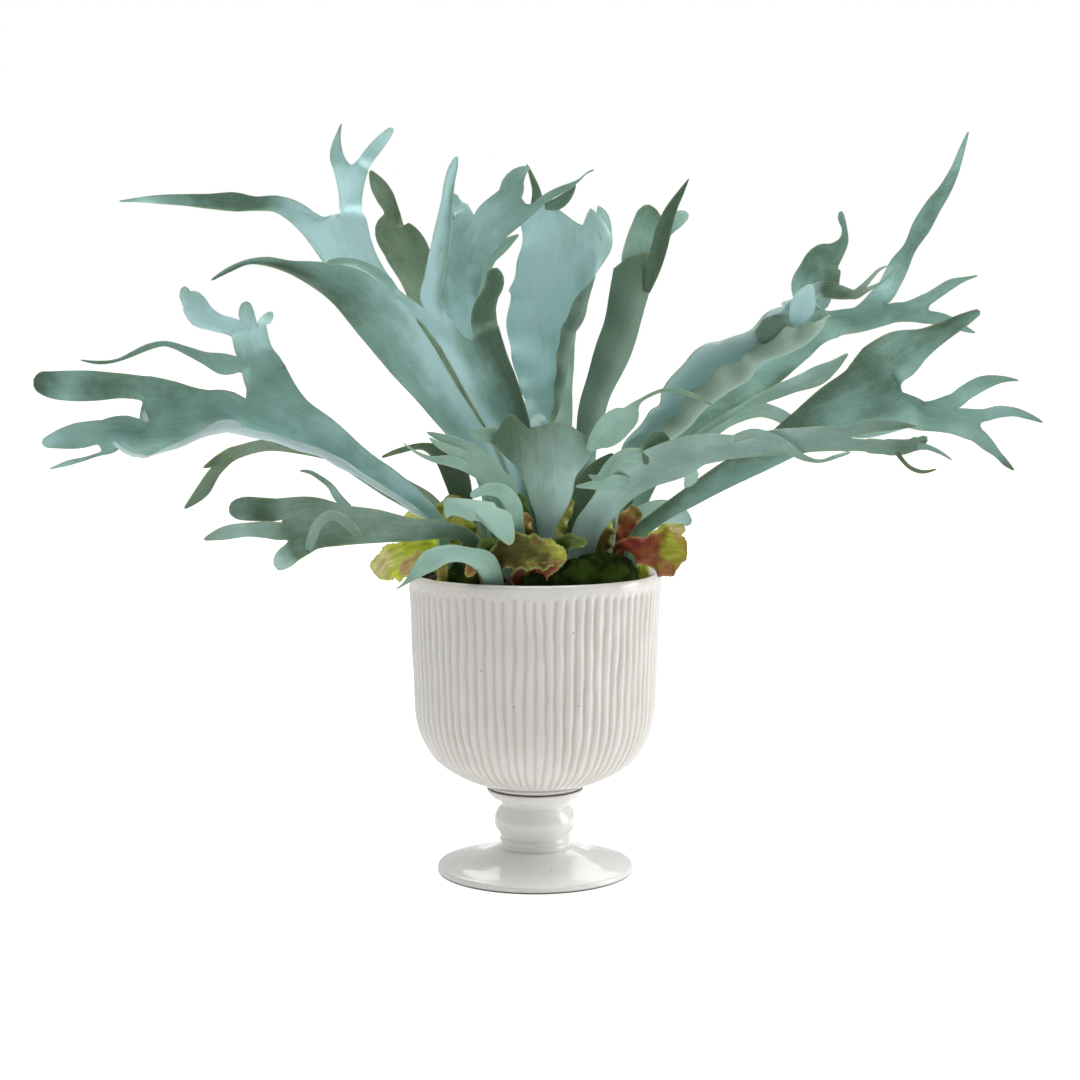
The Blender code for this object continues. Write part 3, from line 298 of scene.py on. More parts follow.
# ribbons that spring from a frond and have no CAD node of their own
LOOSE_LOBES = {
    "centre_tip_blue":
        lobe([(59, 14, 525, 4), (57, 17, 538, 6), (55, 20, 548, 4.5), (52, 22, 555, 0.5)], tone=(0.3,)),
    "trumpet_left_lip":
        lobe([(-18, -93, 360, 3), (-26, -92, 366, 6), (-33, -92, 370, 6.5), (-41, -96, 372, 5),
              (-50, -100, 373, 4)], cup=(10, 10), tone=(0.8, 0.5, 0.3)),
    "trumpet_wing":
        lobe([(42, -94, 359, 2.5), (48, -98, 366, 7), (55, -107, 372, 11), (64, -117, 381, 12),
              (73, -121, 388, 8.5), (77, -124, 395, 3.5), (80, -125, 398, 2), (88, -128, 403, 1.5),
              (99, -130, 407, 1.5), (111, -132, 406, 1.5), (123, -133, 402, 1.5), (133, -134, 397, 1),
              (139, -134, 395, 0.5)], tone=(0.1, 0.1, 0.5, 0.7)),
    "rolled_tip":
        lobe([(94, 42, 484, 2.5), (99, 40, 504, 6.5), (104, 37, 522, 7), (108, 35, 539, 6.5),
              (114, 33, 554, 5), (121, 31, 566, 3), (128, 30, 578, 0.5)], cup=(30, 30), tone=(0.9,)),
    "rolled_inside":
        lobe([(89, 46, 488, 6.5), (88, 49, 510, 16), (89, 51, 528, 12.5), (93, 53, 540, 11.5),
              (95, 54, 547, 10)], cup=(30, 30), columns=3, tone=(0.4, 0.1, 0.1, 0.3, 0.9),
             hem=(3, 9, 11, 10, 8, 4)),
    "rolled_flap":
        lobe([(102, 38, 517, 2.5), (110, 39, 536, 6), (121, 42, 546, 6.5), (129, 45, 549, 2.5)], tone=(0.1,)),
    "wavy_pocket":
        lobe([(211, -36, 446, 2.5), (211, -38, 457, 7), (214, -38, 469, 11), (218, -38, 480, 8),
              (223, -37, 489, 1.5)], cup=(35, 35), tone=(-0.1,)),
    "wavy_fold":
        lobe([(185, -33, 441, 5.5), (190, -37, 448, 14.5), (198, -41, 450, 13.5), (207, -44, 449, 8),
              (215, -45, 450, 5), (223, -45, 456, 4), (229, -44, 465, 2.5), (232, -43, 470, 1)],
             tone=(0.6, 0.5)),
    "back_blade_green":
        lobe([(23, -12, 267, 2.5), (31, -14, 297, 10), (43, -16, 324, 11.5), (56, -17, 342, 7.5),
              (64, -18, 352, 1)], tone=(1, 1, 0.8)),
    "back_blade_pale":
        lobe([(-11, 0, 236, 3.5), (-12, 2, 265, 4), (-17, 4, 304, 11), (-24, 6, 337, 11.5),
              (-29, 8, 362, 10), (-34, 10, 382, 2.5)], tone=(0.8, 0.5, 0.4)),
    "droop_sheet":
        lobe([(-50, -112, 322, 18.5), (-50, -113, 320, 22), (-49, -114, 318, 22.5)], cup=(-10, -10),
             columns=7, tone=(0,), hem=(23, 35, 42, 45, 44, 33, 17, 13, 11, 5, 0, -2, -2)),
    "blue_side_lobe":
        lobe([(-45, 2, 475, 4), (-40, -2, 497, 3.5), (-37, -4, 510, 5), (-27, -6, 520, 5),
              (-13, -8, 530, 0.5)], tone=(0.1,)),
    "blue_tip_fold":
        lobe([(8, -17, 552, 2.5), (18, -18, 554, 5), (26, -21, 560, 4), (33, -25, 569, 0.5)], tone=(0.8,)),
    "green_spike":
        lobe([(2, 16, 555, 6), (1, 17, 567, 3.5), (-3, 17, 579, 2), (-7, 17, 589, 0.5)], tone=(0.8,)),
    "low_left_curl":
        lobe([(-174, -137, 283, 2.5), (-169, -142, 297, 4), (-163, -147, 308, 4), (-155, -151, 313, 4),
              (-145, -154, 310, 4), (-138, -155, 304, 4), (-131, -154, 297, 2)], cup=(30, 30),
             tone=(0.7, 0.4, 0.7)),
    "low_left_thin":
        lobe([(-143, -123, 316, 3), (-152, -118, 324, 3.5), (-159, -112, 333, 2.5), (-167, -112, 339, 2),
              (-174, -112, 343, 1.5), (-182, -112, 344, 0.5)], cup=(30, 30), tone=(0.4,)),
    "front_ribbon":
        lobe([(152, -124, 369, 3), (167, -133, 374, 4), (180, -142, 370, 4.5), (193, -148, 363, 4),
              (205, -150, 356, 2.5), (215, -152, 354, 1.5), (228, -155, 358, 1.5), (238, -158, 361, 0.5)],
             cup=(30, 30), tone=(0.5, 0.3, 0.2)),
    "front_tail":
        lobe([(284, -180, 367, 3), (292, -184, 366, 2), (299, -187, 363, 1.5), (308, -191, 357, 0.5)]),
    "front_hook":
        lobe([(270, -174, 362, 2), (274, -176, 356, 1.5), (279, -178, 351, 1.5), (286, -179, 348, 1.5),
              (299, -180, 350, 0.5)], tone=(0.8,)),
    "stem_wing_low":
        lobe([(75, -83, 336, 1.5), (65, -85, 334, 5.5), (54, -87, 332, 5.5), (43, -88, 331, 3),
              (32, -88, 330, 1)], cup=(30, 30), tone=(0.1,)),
    "stem_wing_high":
        lobe([(90, -91, 350, 1.5), (81, -95, 356, 4.5), (70, -97, 355, 5.5), (59, -97, 346, 5.5),
              (49, -96, 337, 3), (42, -94, 340, 1)], cup=(40, 40), tone=(0.1, 0.1, 0.3)),
    "stem_curl":
        lobe([(87, -93, 348, 1.5), (88, -96, 355, 4.5), (91, -98, 365, 6), (97, -99, 370, 6),
              (103, -99, 364, 4), (106, -99, 355, 1)], cup=(40, 40), tone=(0.9,)),
    "stem_pale_lobe":
        lobe([(116, -108, 354, 1.5), (119, -105, 347, 4.5), (122, -101, 339, 6), (117, -98, 330, 1)],
             tone=(0.1,)),
    "trumpet_flap":
        lobe([(0, -93, 373, 3), (2, -97, 384, 4), (9, -100, 383, 2)], cup=(30, 30), tone=(0.1,)),
}

SHIELDS = {
    "shield_rim_left":
        lobe([(-73, -34, ROOT, 5.5), (-87, -40, 273, 10.5), (-101, -44, 270, 14.5), (-112, -46, 266, 16),
              (-121, -46, 260, 14), (-126, -46, 252, 7.5)], columns=5, ruffle=(3, 13), teeth=(1.5, 3)),
    "shield_peach":
        lobe([(-69, -58, ROOT, 5), (-81, -68, 270, 7), (-91, -80, 270, 9.5), (-100, -88, 266, 8),
              (-107, -92, 260, 4)], cup=(30, 20), columns=4, ruffle=(3, 13), teeth=(1.5, 3)),
    "shield_brick":
        lobe([(68, -34, ROOT, 3.5), (66, -46, 277, 4), (76, -60, 281, 8), (90, -72, 277, 16),
              (102, -80, 276, 21.5), (114, -84, 275, 16), (120, -85, 273, 8.5)], cup=(-30, -40), columns=5,
             ruffle=(3, 17), teeth=(1.5, 3)),
    "shield_cupped":
        lobe([(-28, -60, ROOT, 6.5), (-30, -70, 271, 10.5), (-16, -80, 277, 16), (4, -88, 277, 15),
              (18, -92, 276, 11), (26, -93, 276, 6.5)], cup=(20, 60), columns=4, ruffle=(3, 13),
             teeth=(1.5, 3)),
    "shield_orange_upright":
        lobe([(76, -6, ROOT, 6.5), (76, -4, 288, 10), (80, -2, 299, 10), (85, 0, 307, 3.5)], columns=4,
             ruffle=(3, 13), teeth=(1.5, 3)),
    "shield_lime_tip":
        lobe([(87, -28, ROOT, 4), (98, -31, 282, 7.5), (110, -34, 290, 7.5), (123, -36, 291, 4)], columns=4,
             ruffle=(3, 13), teeth=(1.5, 3)),
    "shield_green_brown":
        lobe([(54, -28, ROOT, 5.5), (53, -31, 278, 10), (55, -33, 292, 10.5), (61, -31, 305, 2.5)],
             cup=(15, 15), columns=4, ruffle=(3, 13), teeth=(1.5, 3)),
    "shield_green_small":
        lobe([(17, -70, ROOT, 5), (17, -76, 282, 6.5), (29, -82, 286, 7), (42, -84, 285, 3)], columns=4,
             ruffle=(3, 13), teeth=(1.5, 3)),
    "shield_narrow_yellow":
        lobe([(19, -26, ROOT, 4), (19, -24, 286, 5.5), (24, -20, 302, 6.5), (30, -16, 315, 5)], columns=4,
             ruffle=(3, 13), teeth=(1.5, 3)),
    "shield_orange_centre":
        lobe([(-6, -36, ROOT, 5.5), (-11, -38, 280, 9.5), (-11, -38, 293, 10.5), (-6, -36, 305, 5)],
             columns=4, ruffle=(3, 13), teeth=(1.5, 3)),
    "shield_green_centre":
        lobe([(-12, -24, ROOT, 5), (-12, -26, 290, 8), (-13, -29, 307, 9), (-14, -31, 320, 4)], columns=4,
             ruffle=(3, 13), teeth=(1.5, 3)),
    "shield_left_yellow":
        lobe([(-57, -10, ROOT, 7.5), (-64, -4, 291, 13), (-69, 0, 305, 16), (-72, 4, 316, 7.5)], columns=5,
             ruffle=(3, 13), teeth=(1.5, 3)),
    "shield_left_orange":
        lobe([(-46, -40, ROOT, 5.5), (-53, -46, 285, 9.5), (-60, -50, 297, 10.5), (-64, -50, 305, 4)],
             columns=4, ruffle=(3, 13), teeth=(1.5, 3)),
    "shield_dark_green":
        lobe([(-35, -54, ROOT, 5), (-34, -62, 272, 9), (-39, -70, 281, 10.5), (-44, -73, 286, 4)], columns=4,
             ruffle=(3, 13), teeth=(1.5, 3)),
    "shield_small_frill":
        lobe([(-40, -80, ROOT, 4), (-45, -88, 270, 5.5), (-50, -94, 266, 6.5), (-53, -96, 259, 3)],
             columns=4, ruffle=(3, 13), teeth=(1.5, 3)),
    "shield_back_left":
        lobe([(-76, 36, ROOT, 6), (-84, 46, 276, 13), (-100, 60, 284, 17), (-110, 70, 272, 8)],
             cup=(-15, -15), columns=4),
    "shield_back":
        lobe([(-12, 76, ROOT, 6), (-13, 88, 278, 13), (-15, 108, 284, 17), (-17, 124, 270, 8)],
             cup=(-15, -15), columns=4),
    "shield_back_right":
        lobe([(64, 60, ROOT, 6), (73, 72, 278, 12), (88, 88, 284, 16), (98, 100, 272, 8)], cup=(-15, -15),
             columns=4),
}

# a leaf with no CAD node of its own
LOOSE_SHIELDS = {
    "shield_cupped_under":
        lobe([(-12, -76, ROOT, 5.5), (-9, -84, 260, 9.5), (5, -90, 263, 8.5), (17, -93, 269, 4.5),
              (24, -95, 273, 1.5)], columns=4, ruffle=(3, 13), teeth=(1.5, 3)),
}

# a cushion is its middle x and y, half length, half width, height, and turn about Z in degrees
MOSS = {
    "moss_front_right": (50, -66, 38, 15, 25, 32),
    "moss_front": (8, -84, 18, 9, 19, 0),
    "moss_front_left": (-54, -66, 18, 11, 23, -38),
    "moss_left": (-88, 4, 7, 14, 22, 0),
    "moss_back_right": (30, 76, 20, 12, 26, -20),
    "moss_back_left": (-60, 60, 17, 11, 26, 44),
}
FROND_PITCH = 3.0            # distance between two rows of a frond's mesh

# ---- finishes ----
FROND_SKINS = {
    "blue": {"Pale": (0.50, 0.78, 0.79), "Body": (0.22, 0.41, 0.35), "Deep": (0.055, 0.125, 0.075),
             "Under": (0.52, 0.69, 0.70), "Rim": (0.28, 0.36, 0.10)},
    "mint": {"Pale": (0.34, 0.56, 0.47), "Body": (0.20, 0.37, 0.28), "Deep": (0.07, 0.15, 0.08),
             "Under": (0.42, 0.60, 0.54), "Rim": (0.40, 0.52, 0.22)},
    "green": {"Pale": (0.42, 0.64, 0.59), "Body": (0.23, 0.37, 0.31), "Deep": (0.06, 0.13, 0.07),
              "Under": (0.24, 0.36, 0.29), "Rim": (0.26, 0.36, 0.07)},
    # wavy: its brighter pale is painted light in the shaded channel of frond_right_wavy
    "wavy": {"Pale": (0.62, 0.84, 0.83), "Body": (0.38, 0.56, 0.51), "Deep": (0.07, 0.15, 0.08),
             "Under": (0.24, 0.36, 0.29), "Rim": (0.26, 0.36, 0.07)},
    "dusky": {"Pale": (0.49, 0.76, 0.76), "Body": (0.26, 0.44, 0.38), "Deep": (0.07, 0.15, 0.08),
              "Under": (0.13, 0.22, 0.17), "Rim": (0.26, 0.36, 0.07)},
    "olive": {"Pale": (0.34, 0.44, 0.34), "Body": (0.17, 0.27, 0.17), "Deep": (0.06, 0.11, 0.05),
              "Under": (0.24, 0.33, 0.25), "Rim": (0.26, 0.33, 0.07)},
}
FROND_KIND = {
    "frond_drooping_pale": "mint", "frond_over_rim": "mint", "frond_small_left": "mint",
    "stem_wing_low": "mint", "stem_wing_high": "mint", "stem_pale_lobe": "mint", "blue_side_lobe": "mint",
    "frond_back_left_olive": "olive", "frond_back_left_thin": "olive", "frond_arching_olive": "olive",
    "frond_rolled": "dusky", "frond_front_trumpet": "green", "frond_centre_wide": "dusky",
    "wavy_fold": "green", "back_blade_green": "olive", "droop_sheet": "mint", "trumpet_left_lip": "mint",
    "trumpet_flap": "green", "low_left_curl": "green", "back_blade_pale": "green",
    "rolled_inside": "mint", "rolled_flap": "mint", "rolled_tip": "green", "trumpet_wing": "mint",
    "frond_right_wavy": "wavy", "frond_front_right": "green", "frond_low_left": "green",
    "frond_back_right_thin": "green", "frond_back_right_arch": "green", "frond_back_upright": "green",
    "frond_low_right": "green", "frond_back_low_left": "olive", "frond_back_low_right": "green",
    "green_spike": "green", "low_left_thin": "green", "front_ribbon": "green", "front_hook": "olive",
    "stem_curl": "green",
}
SHIELD_SKINS = {
    "lime": {"Base": (0.36, 0.50, 0.03), "Body": (0.66, 0.82, 0.04), "Tip": (0.90, 0.80, 0.40),
             "Blush": (0.40, 0.36, 0.04), "Rim": (0.60, 0.66, 0.12), "Blush_Amount": 0.3},
    "brick": {"Base": (0.14, 0.026, 0.012), "Body": (0.24, 0.018, 0.016), "Tip": (0.42, 0.44, 0.03),
              "Blush": (0.36, 0.09, 0.03), "Rim": (0.34, 0.20, 0.05), "Blush_Amount": 0.5},
    "orange": {"Base": (0.10, 0.03, 0.008), "Body": (0.30, 0.055, 0.010), "Tip": (0.34, 0.24, 0.05),
               "Blush": (0.12, 0.03, 0.008), "Rim": (0.45, 0.30, 0.10), "Blush_Amount": 0.5},
    "bronze": {"Base": (0.04, 0.08, 0.010), "Body": (0.10, 0.10, 0.010), "Tip": (0.62, 0.68, 0.09),
               "Blush": (0.20, 0.07, 0.012), "Rim": (0.36, 0.42, 0.12), "Blush_Amount": 0.4},
    "green": {"Base": (0.03, 0.06, 0.01), "Body": (0.055, 0.11, 0.016), "Tip": (0.13, 0.22, 0.03),
              "Blush": (0.14, 0.08, 0.015), "Rim": (0.20, 0.28, 0.06), "Blush_Amount": 0.2},
    "peach": {"Base": (0.34, 0.32, 0.04), "Body": (0.56, 0.46, 0.10), "Tip": (0.85, 0.72, 0.36),
              "Blush": (0.40, 0.10, 0.03), "Rim": (0.60, 0.52, 0.20), "Blush_Amount": 0.4},
    "yellow": {"Base": (0.14, 0.16, 0.02), "Body": (0.24, 0.28, 0.04), "Tip": (0.34, 0.36, 0.06),
               "Blush": (0.26, 0.12, 0.02), "Rim": (0.40, 0.42, 0.10), "Blush_Amount": 0.3},
}
SHIELD_KIND = {
    "shield_peach": "peach", "shield_brick": "brick", "shield_cupped": "bronze",
    "shield_orange_upright": "orange", "shield_green_brown": "bronze", "shield_green_small": "green",
    "shield_narrow_yellow": "yellow", "shield_orange_centre": "orange", "shield_green_centre": "green",
    "shield_left_yellow": "yellow", "shield_left_orange": "bronze", "shield_dark_green": "green",
    "shield_small_frill": "orange", "shield_cupped_under": "orange",
}

# ---- studio ----
FLOOR_GLOW = (0.13, 0.80)             # what lights the object, and what the camera sees
ROOM_FRONT, ROOM_BACK = 0.15, 0.6
LAMPS = [
    ("key_left", (-1.6, -0.9, 2.0), (0, 0, 0.3), (1.4, 1.4), 3),
    ("rim_right", (1.8, 0.1, 0.6), (0, 0, 0.2), (0.7, 1.6), 15),
    ("top", (0.2, -0.2, 2.4), (0, 0, 0.2), (1.8, 1.4), 38),
    ("back_panel", (0.2, 1.9, 1.3), (0, 0, 0.05), (1.2, 0.8), 4),
    ("front_soft", (0.5, -1.5, 1.6), (0, 0, 0.1), (1.0, 1.0), 1.5),
]


# ---- surfaces ----
def ease(x):
    """Smooth step from 0 to 1."""
    x = np.clip(x, 0, 1)
    return x * x * (3 - 2 * x)


def unit(a):
    return a / np.maximum(np.linalg.norm(a, axis=-1, keepdims=True), 1e-9)


def ripple(points, length, seed, waves=7):
    """Mean of sines along random directions, each about the given length from crest to crest."""
    draw = np.random.default_rng(seed)
    ways = unit(draw.normal(size=(waves, points.shape[-1]))) / length * draw.uniform(0.7, 1.4, (waves, 1))
    return np.sin(2 * math.pi * (points @ ways.T + draw.uniform(0, 1, waves))).mean(-1) * 1.6


def smooth_path(knots, count, lead=None, tip=False):
    """Values and slopes along a cubic through the knots, spaced by chord length.

    The slope at a knot is the mean of its two chords, weighted by the other's length.
    lead replaces the first direction, and a tip draws its rows closer together at its ends.
    """
    span = np.maximum(np.linalg.norm(np.diff(knots[:, :3], axis=0), axis=1), 1e-6)
    at = np.concatenate([[0], np.cumsum(span)])
    chord = np.diff(knots, axis=0) / span[:, None]
    slope = np.empty_like(knots)
    slope[0], slope[-1] = chord[0], chord[-1]
    if len(knots) > 2:
        weight = (span[1:] + span[:-1])[:, None]
        slope[1:-1] = (chord[:-1] * span[1:, None] + chord[1:] * span[:-1, None]) / weight
        slope[-1] = 1.5 * chord[-1] - 0.5 * slope[-2]
        slope[0] = 1.5 * chord[0] - 0.5 * slope[1]
    if lead is not None:
        slope[0, :3] = lead
    u = np.linspace(0, 1, count + 1)
    u = (u + ease(u)) / 2 if tip else u
    x = u * at[-1]
    i = np.clip(np.searchsorted(at, x, side="right") - 1, 0, len(span) - 1)
    q, h = ((x - at[i]) / span[i])[:, None], span[i][:, None]
    value = ((2 * q**3 - 3 * q**2 + 1) * knots[i] + (q**3 - 2 * q**2 + q) * h * slope[i]
             + (3 * q**2 - 2 * q**3) * knots[i + 1] + (q**3 - q**2) * h * slope[i + 1])
    change = ((6 * q**2 - 6 * q) * knots[i] / h + (3 * q**2 - 4 * q + 1) * slope[i]
              + (6 * q - 6 * q**2) * knots[i + 1] / h + (3 * q**2 - 2 * q) * slope[i + 1])
    return value, change, x


def half_section(width, cup, curl, columns, fine=6):
    """Across and up for half a blade: its direction turns by cup times the curl-th power of v."""
    steps = columns * fine
    v = np.linspace(0, 1, steps + 1)
    turn = np.radians(cup)[:, None] * ((v[1:] + v[:-1]) / 2)[None] ** curl
    start = np.zeros((len(width), 1))
    across = np.concatenate([start, np.cumsum(np.cos(turn), 1) / steps], 1) * width[:, None]
    up = np.concatenate([start, np.cumsum(np.sin(turn), 1) / steps], 1) * width[:, None]
    return across[:, ::fine], up[:, ::fine]


class Blade:
    """The points of one leaf, and for each its distance from the midrib and along it, in mm,
    and its tone, which holds painted light and shade as well as the leaf's own colour; and the faces between
    them."""

    def __init__(self):
        self.points, self.marks, self.faces = np.zeros((0, 3)), np.zeros((0, 3)), []

    def add(self, grid, marks):
        index = len(self.points) + np.arange(grid[..., 0].size).reshape(grid.shape[:2])
        self.points = np.vstack([self.points, grid.reshape(-1, 3)])
        self.marks = np.vstack([self.marks, marks.reshape(-1, 3)])
        return index


def grow_lobe(blade, part, pitch, fine, shared=None, parent=None, run=0.0, notches=(0, 0)):
    """Add one lobe as a grid of points, and then its forks.

    A point is midrib(u) + across(v) * side(u) + up(v) * normal(u), where side and normal are
    turned about the midrib by the roll, and across and up come from half_section. The up part
    gains a ruffle, height * v^2 * sin(2 pi u / length), and the across part a smaller one,
    0.4 * height * v^3 * sin(2 pi u / length + 1.2). Teeth shorten the width in a saw-tooth.
    A tip's width ends in a quarter ellipse. An end with forks or a hem keeps its width, and its
    last rows ease forward by slant, bulge and hem. The tone at a point is that of its row plus
    lean * v, and holds painted light and shade as well as the leaf's own colour. shared are the
    parent's end points that this lobe starts from. The grid is drawn onto them and lets go over
    1.6 times their half width, or less on a short tip, so that the blade has no seam, and beside a
    neighbouring lobe (notches) it lets go along a quarter circle, so that the notch between the
    two is round.
    """
    knots, columns = part["knots"], part["columns"] * fine
    lead = None
    if shared is not None:
        start = blade.points[shared]
        half = np.linalg.norm(np.diff(start, axis=0), axis=1).sum() / 2
        middle = (start[(len(start) - 1) // 2] + start[len(start) // 2]) / 2
        lead, roll, left, right = parent
        inner = min(half, knots[0, 3])
        aside = unit(start[-1] - start[0]) * (half - inner) * (notches[0] - notches[1])
        knots = np.vstack([[*(middle + aside), inner, roll, left, right], knots])
    length = np.linalg.norm(np.diff(knots[:, :3], axis=0), axis=1).sum()
    count = max(3, round(length / pitch))
    open_end = bool(part["forks"] or part["hem"])
    value, change, x = smooth_path(knots, count, lead, tip=not open_end)
    along = unit(change[:, :3])
    if shared is None and knots[0, 2] == ROOT:
        along[0] = [0, 0, 1]
    width = np.maximum(value[:, 3], 0.35)
    if not open_end:
        left_over = np.clip((x[-1] - x) / (0.9 * width[-1] + 0.5), 0, 1)
        width = width * np.sqrt(np.maximum(1 - (1 - left_over) ** 2, 0.003))
    depth, spacing = part["teeth"]
    width = width * (1 - depth / np.maximum(width, depth + 2) * ((run + x) / spacing % 1)
                     * ease(x / 8 + (shared is not None)))
    side = unit(np.cross(along, FACING))
    face = np.cross(side, along)
    roll = np.radians(value[:, 4])[:, None]
    across = side * np.cos(roll) + face * np.sin(roll)
    normal = face * np.cos(roll) - side * np.sin(roll)
    left_columns = columns // 2
    xl, yl = half_section(width, value[:, 5], part["curl"], left_columns)
    xr, yr = half_section(width, value[:, 6], part["curl"], columns - left_columns)
    flat = np.concatenate([-xl[:, :0:-1], xr], 1)
    high = np.concatenate([yl[:, :0:-1], yr], 1)
    v = np.concatenate([np.linspace(-1, 0, left_columns + 1)[:-1],
                        np.linspace(0, 1, columns - left_columns + 1)])
    height, wave = part["ruffle"]
    swell = np.minimum(1, width / 10)[:, None]
    phase = 2 * math.pi * (run + x)[:, None] / wave + np.where(v < 0, 0, 2.1)
    high = high + height * swell * v**2 * np.sin(phase)
    flat = flat + 0.4 * height * swell * v**3 * np.sin(phase + 1.2)
    grid = value[:, None, :3] + across[:, None] * flat[..., None] + normal[:, None] * high[..., None]
    if open_end:
        ending = ease((x - x[-1]) / min(1.6 * width[-1], x[-1]) + 1)[:, None]
        forward = flat * math.tan(math.radians(part["slant"])) + part["bulge"] * (1 - v**2)
        if part["hem"]:
            forward = forward + np.interp(v, np.linspace(-1, 1, len(part["hem"])), part["hem"])
        grid = grid + along[:, None] * (forward * ending)[..., None]
    # tone: the leaf's own green mixed with painted shade and painted light; lean * v is painted shade on one
    # side and painted light on the other
    tone = part["tone"] or [0.5][:shared is None]
    if shared is not None:
        tone = [blade.marks[shared].mean(0)[2]] + tone
    tone = np.interp(x / x[-1], np.linspace(0, 1, len(tone)), tone)[:, None] + part["lean"] * v
    first = 0
    if shared is not None:
        pull = start - grid[0]
        reach = 1.6 * half if part["forks"] else min(1.6 * half, 0.9 * x[-1])
        beside = notches[0] * ease(-v * 1.3) + notches[1] * ease(v * 1.3)
        near = np.clip(1.25 * np.linalg.norm(pull, axis=1), 3, reach)
        round_off = 1 - np.sqrt(1 - (1 - np.clip(x[:, None] / near, 0, 1)) ** 2)
        hold = (1 - ease(x / reach))[:, None] * (1 - beside) + round_off * beside
        grid = grid + pull[None] * hold[..., None]
        first = 1
    marks = np.stack(np.broadcast_arrays(v[None] * width[:, None], (run + x)[:, None], tone), -1)
    if shared is not None:
        marks[..., 0] += blade.marks[shared, 0].mean()
        marks += (blade.marks[shared] - marks[0])[None] * (1 - ease(x / reach))[:, None, None]
    index = blade.add(grid[first:], marks[first:])
    if shared is not None:
        index = np.vstack([shared, index])
    corners = np.stack([index[:-1, :-1], index[:-1, 1:], index[1:, 1:], index[1:, :-1]], -1)
    blade.faces.append(corners.reshape(-1, 4))
    c, turn = 0, (along[-1], value[-1, 4], *value[-1, 5:] / 2)
    for i, fork in enumerate(part["forks"]):
        end = index[-1, c:c + fork["columns"] * fine + 1]
        sides = (i > 0, i < len(part["forks"]) - 1)
        grow_lobe(blade, fork, pitch, fine, end, turn, run + x[-1], sides)
        c += fork["columns"] * fine


def point_normals(points, faces):
    """Sum of the normals of the faces round each point, made unit length."""
    a, b, c, d = (points[faces[:, i]] for i in range(4))
    flat = np.cross(c - a, d - b)
    total = np.zeros_like(points)
    for i in range(4):
        np.add.at(total, faces[:, i], flat)
    return unit(total)


def margin_edges(faces, count):
    """Edges, in their face's order, that only one face has."""
    one, two = faces.ravel(), np.roll(faces, -1, axis=1).ravel()
    key = np.minimum(one, two).astype(np.int64) * count + np.maximum(one, two)
    _, back, times = np.unique(key, return_inverse=True, return_counts=True)
    alone = times[back] == 1
    return one[alone], two[alone]


def nearest_distance(points, others):
    """Distance from each point to the nearest of the others."""
    gap = np.full(len(points), np.inf)
    for block in np.array_split(others, max(1, len(points) * len(others) // 4_000_000)):
        gap = np.minimum(gap, np.linalg.norm(points[:, None] - block[None], axis=-1).min(1))
    return gap


def leaf_mesh(name, part, pitch, fine, thick, thin, swell, crumple):
    """A closed leaf: the grown grid moved half its thickness each way along its normals.

    The thickness is thin at the margin and eases to thick 4 mm inside it, and the base gets
    1.6 mm more. swell is the height of broad, low undulations over the whole blade, 46 mm
    from one to the next, and crumple that of small ones, 12 mm apart.
    """
    blade = Blade()
    grow_lobe(blade, part, pitch, fine)
    points, faces, marks = blade.points, np.vstack(blade.faces), blade.marks
    count = len(points)
    one, two = margin_edges(faces, count)
    margin = nearest_distance(points, points[one])
    seed = sum(name.encode())
    normal = point_normals(points, faces)
    height = swell * ripple(points, 46, seed) * ease(marks[:, 1] / 60)
    height += crumple * ripple(points, 12, seed + 1) * ease(marks[:, 1] / 30)
    points = points + normal * height[:, None]
    foot = 1.6 * ease(1 - marks[:, 1] / 90) * ease(margin / 3)
    body = (thin + (thick - thin) * ease(margin / 4) + foot) / 2
    shell = np.vstack([points + normal * body[:, None], points - normal * body[:, None]])
    rim = np.stack([two, one, one + count, two + count], -1)
    solid = np.vstack([faces, faces[:, ::-1] + count, rim])
    mesh = new_mesh(name, shell * MM, solid)
    crease(mesh, one, two, count)
    reach = marks[:, 1] / marks[:, 1].max()
    mark(mesh, "ribbon", np.tile(np.stack([marks[:, 0], marks[:, 1], margin], -1), (2, 1)) * MM)
    under = np.repeat([0.0, 1.0], count)
    mark(mesh, "growth", np.stack([np.tile(reach, 2), np.tile(marks[:, 2], 2), under], -1))
    return mesh


def crease(mesh, one, two, count):
    """Keep the shading crisp where the two faces of a leaf meet its thin rim."""
    edges = np.empty(len(mesh.edges) * 2, np.int32)
    mesh.edges.foreach_get("vertices", edges)
    low, high = np.sort(edges.reshape(-1, 2), axis=1).T.astype(np.int64)
    rim_low, rim_high = np.minimum(one, two), np.maximum(one, two)
    wanted = np.concatenate([rim_low * 10**7 + rim_high, (rim_low + count) * 10**7 + rim_high + count])
    sharp = mesh.attributes.new("sharp_edge", "BOOLEAN", "EDGE")
    sharp.data.foreach_set("value", np.isin(low * 10**7 + high, wanted))


def new_mesh(name, points, faces):
    """A smooth-shaded mesh from whole arrays; faces all have the same number of corners."""
    mesh = bpy.data.meshes.new(name)
    faces = np.asarray(faces)
    mesh.vertices.add(len(points))
    mesh.vertices.foreach_set("co", np.ascontiguousarray(points, np.float32).ravel())
    mesh.loops.add(faces.size)
    mesh.loops.foreach_set("vertex_index", faces.astype(np.int32).ravel())
    mesh.polygons.add(len(faces))
    mesh.polygons.foreach_set("loop_start", np.arange(0, faces.size, faces.shape[1], dtype=np.int32))
    mesh.update(calc_edges=True)
    mesh.validate()
    mesh.shade_smooth()
    return mesh


def mark(mesh, name, values):
    """Store a vector for each point, for the material to read."""
    field = mesh.attributes.new(name, "FLOAT_VECTOR", "POINT")
    field.data.foreach_set("vector", np.ascontiguousarray(values, np.float32).ravel())


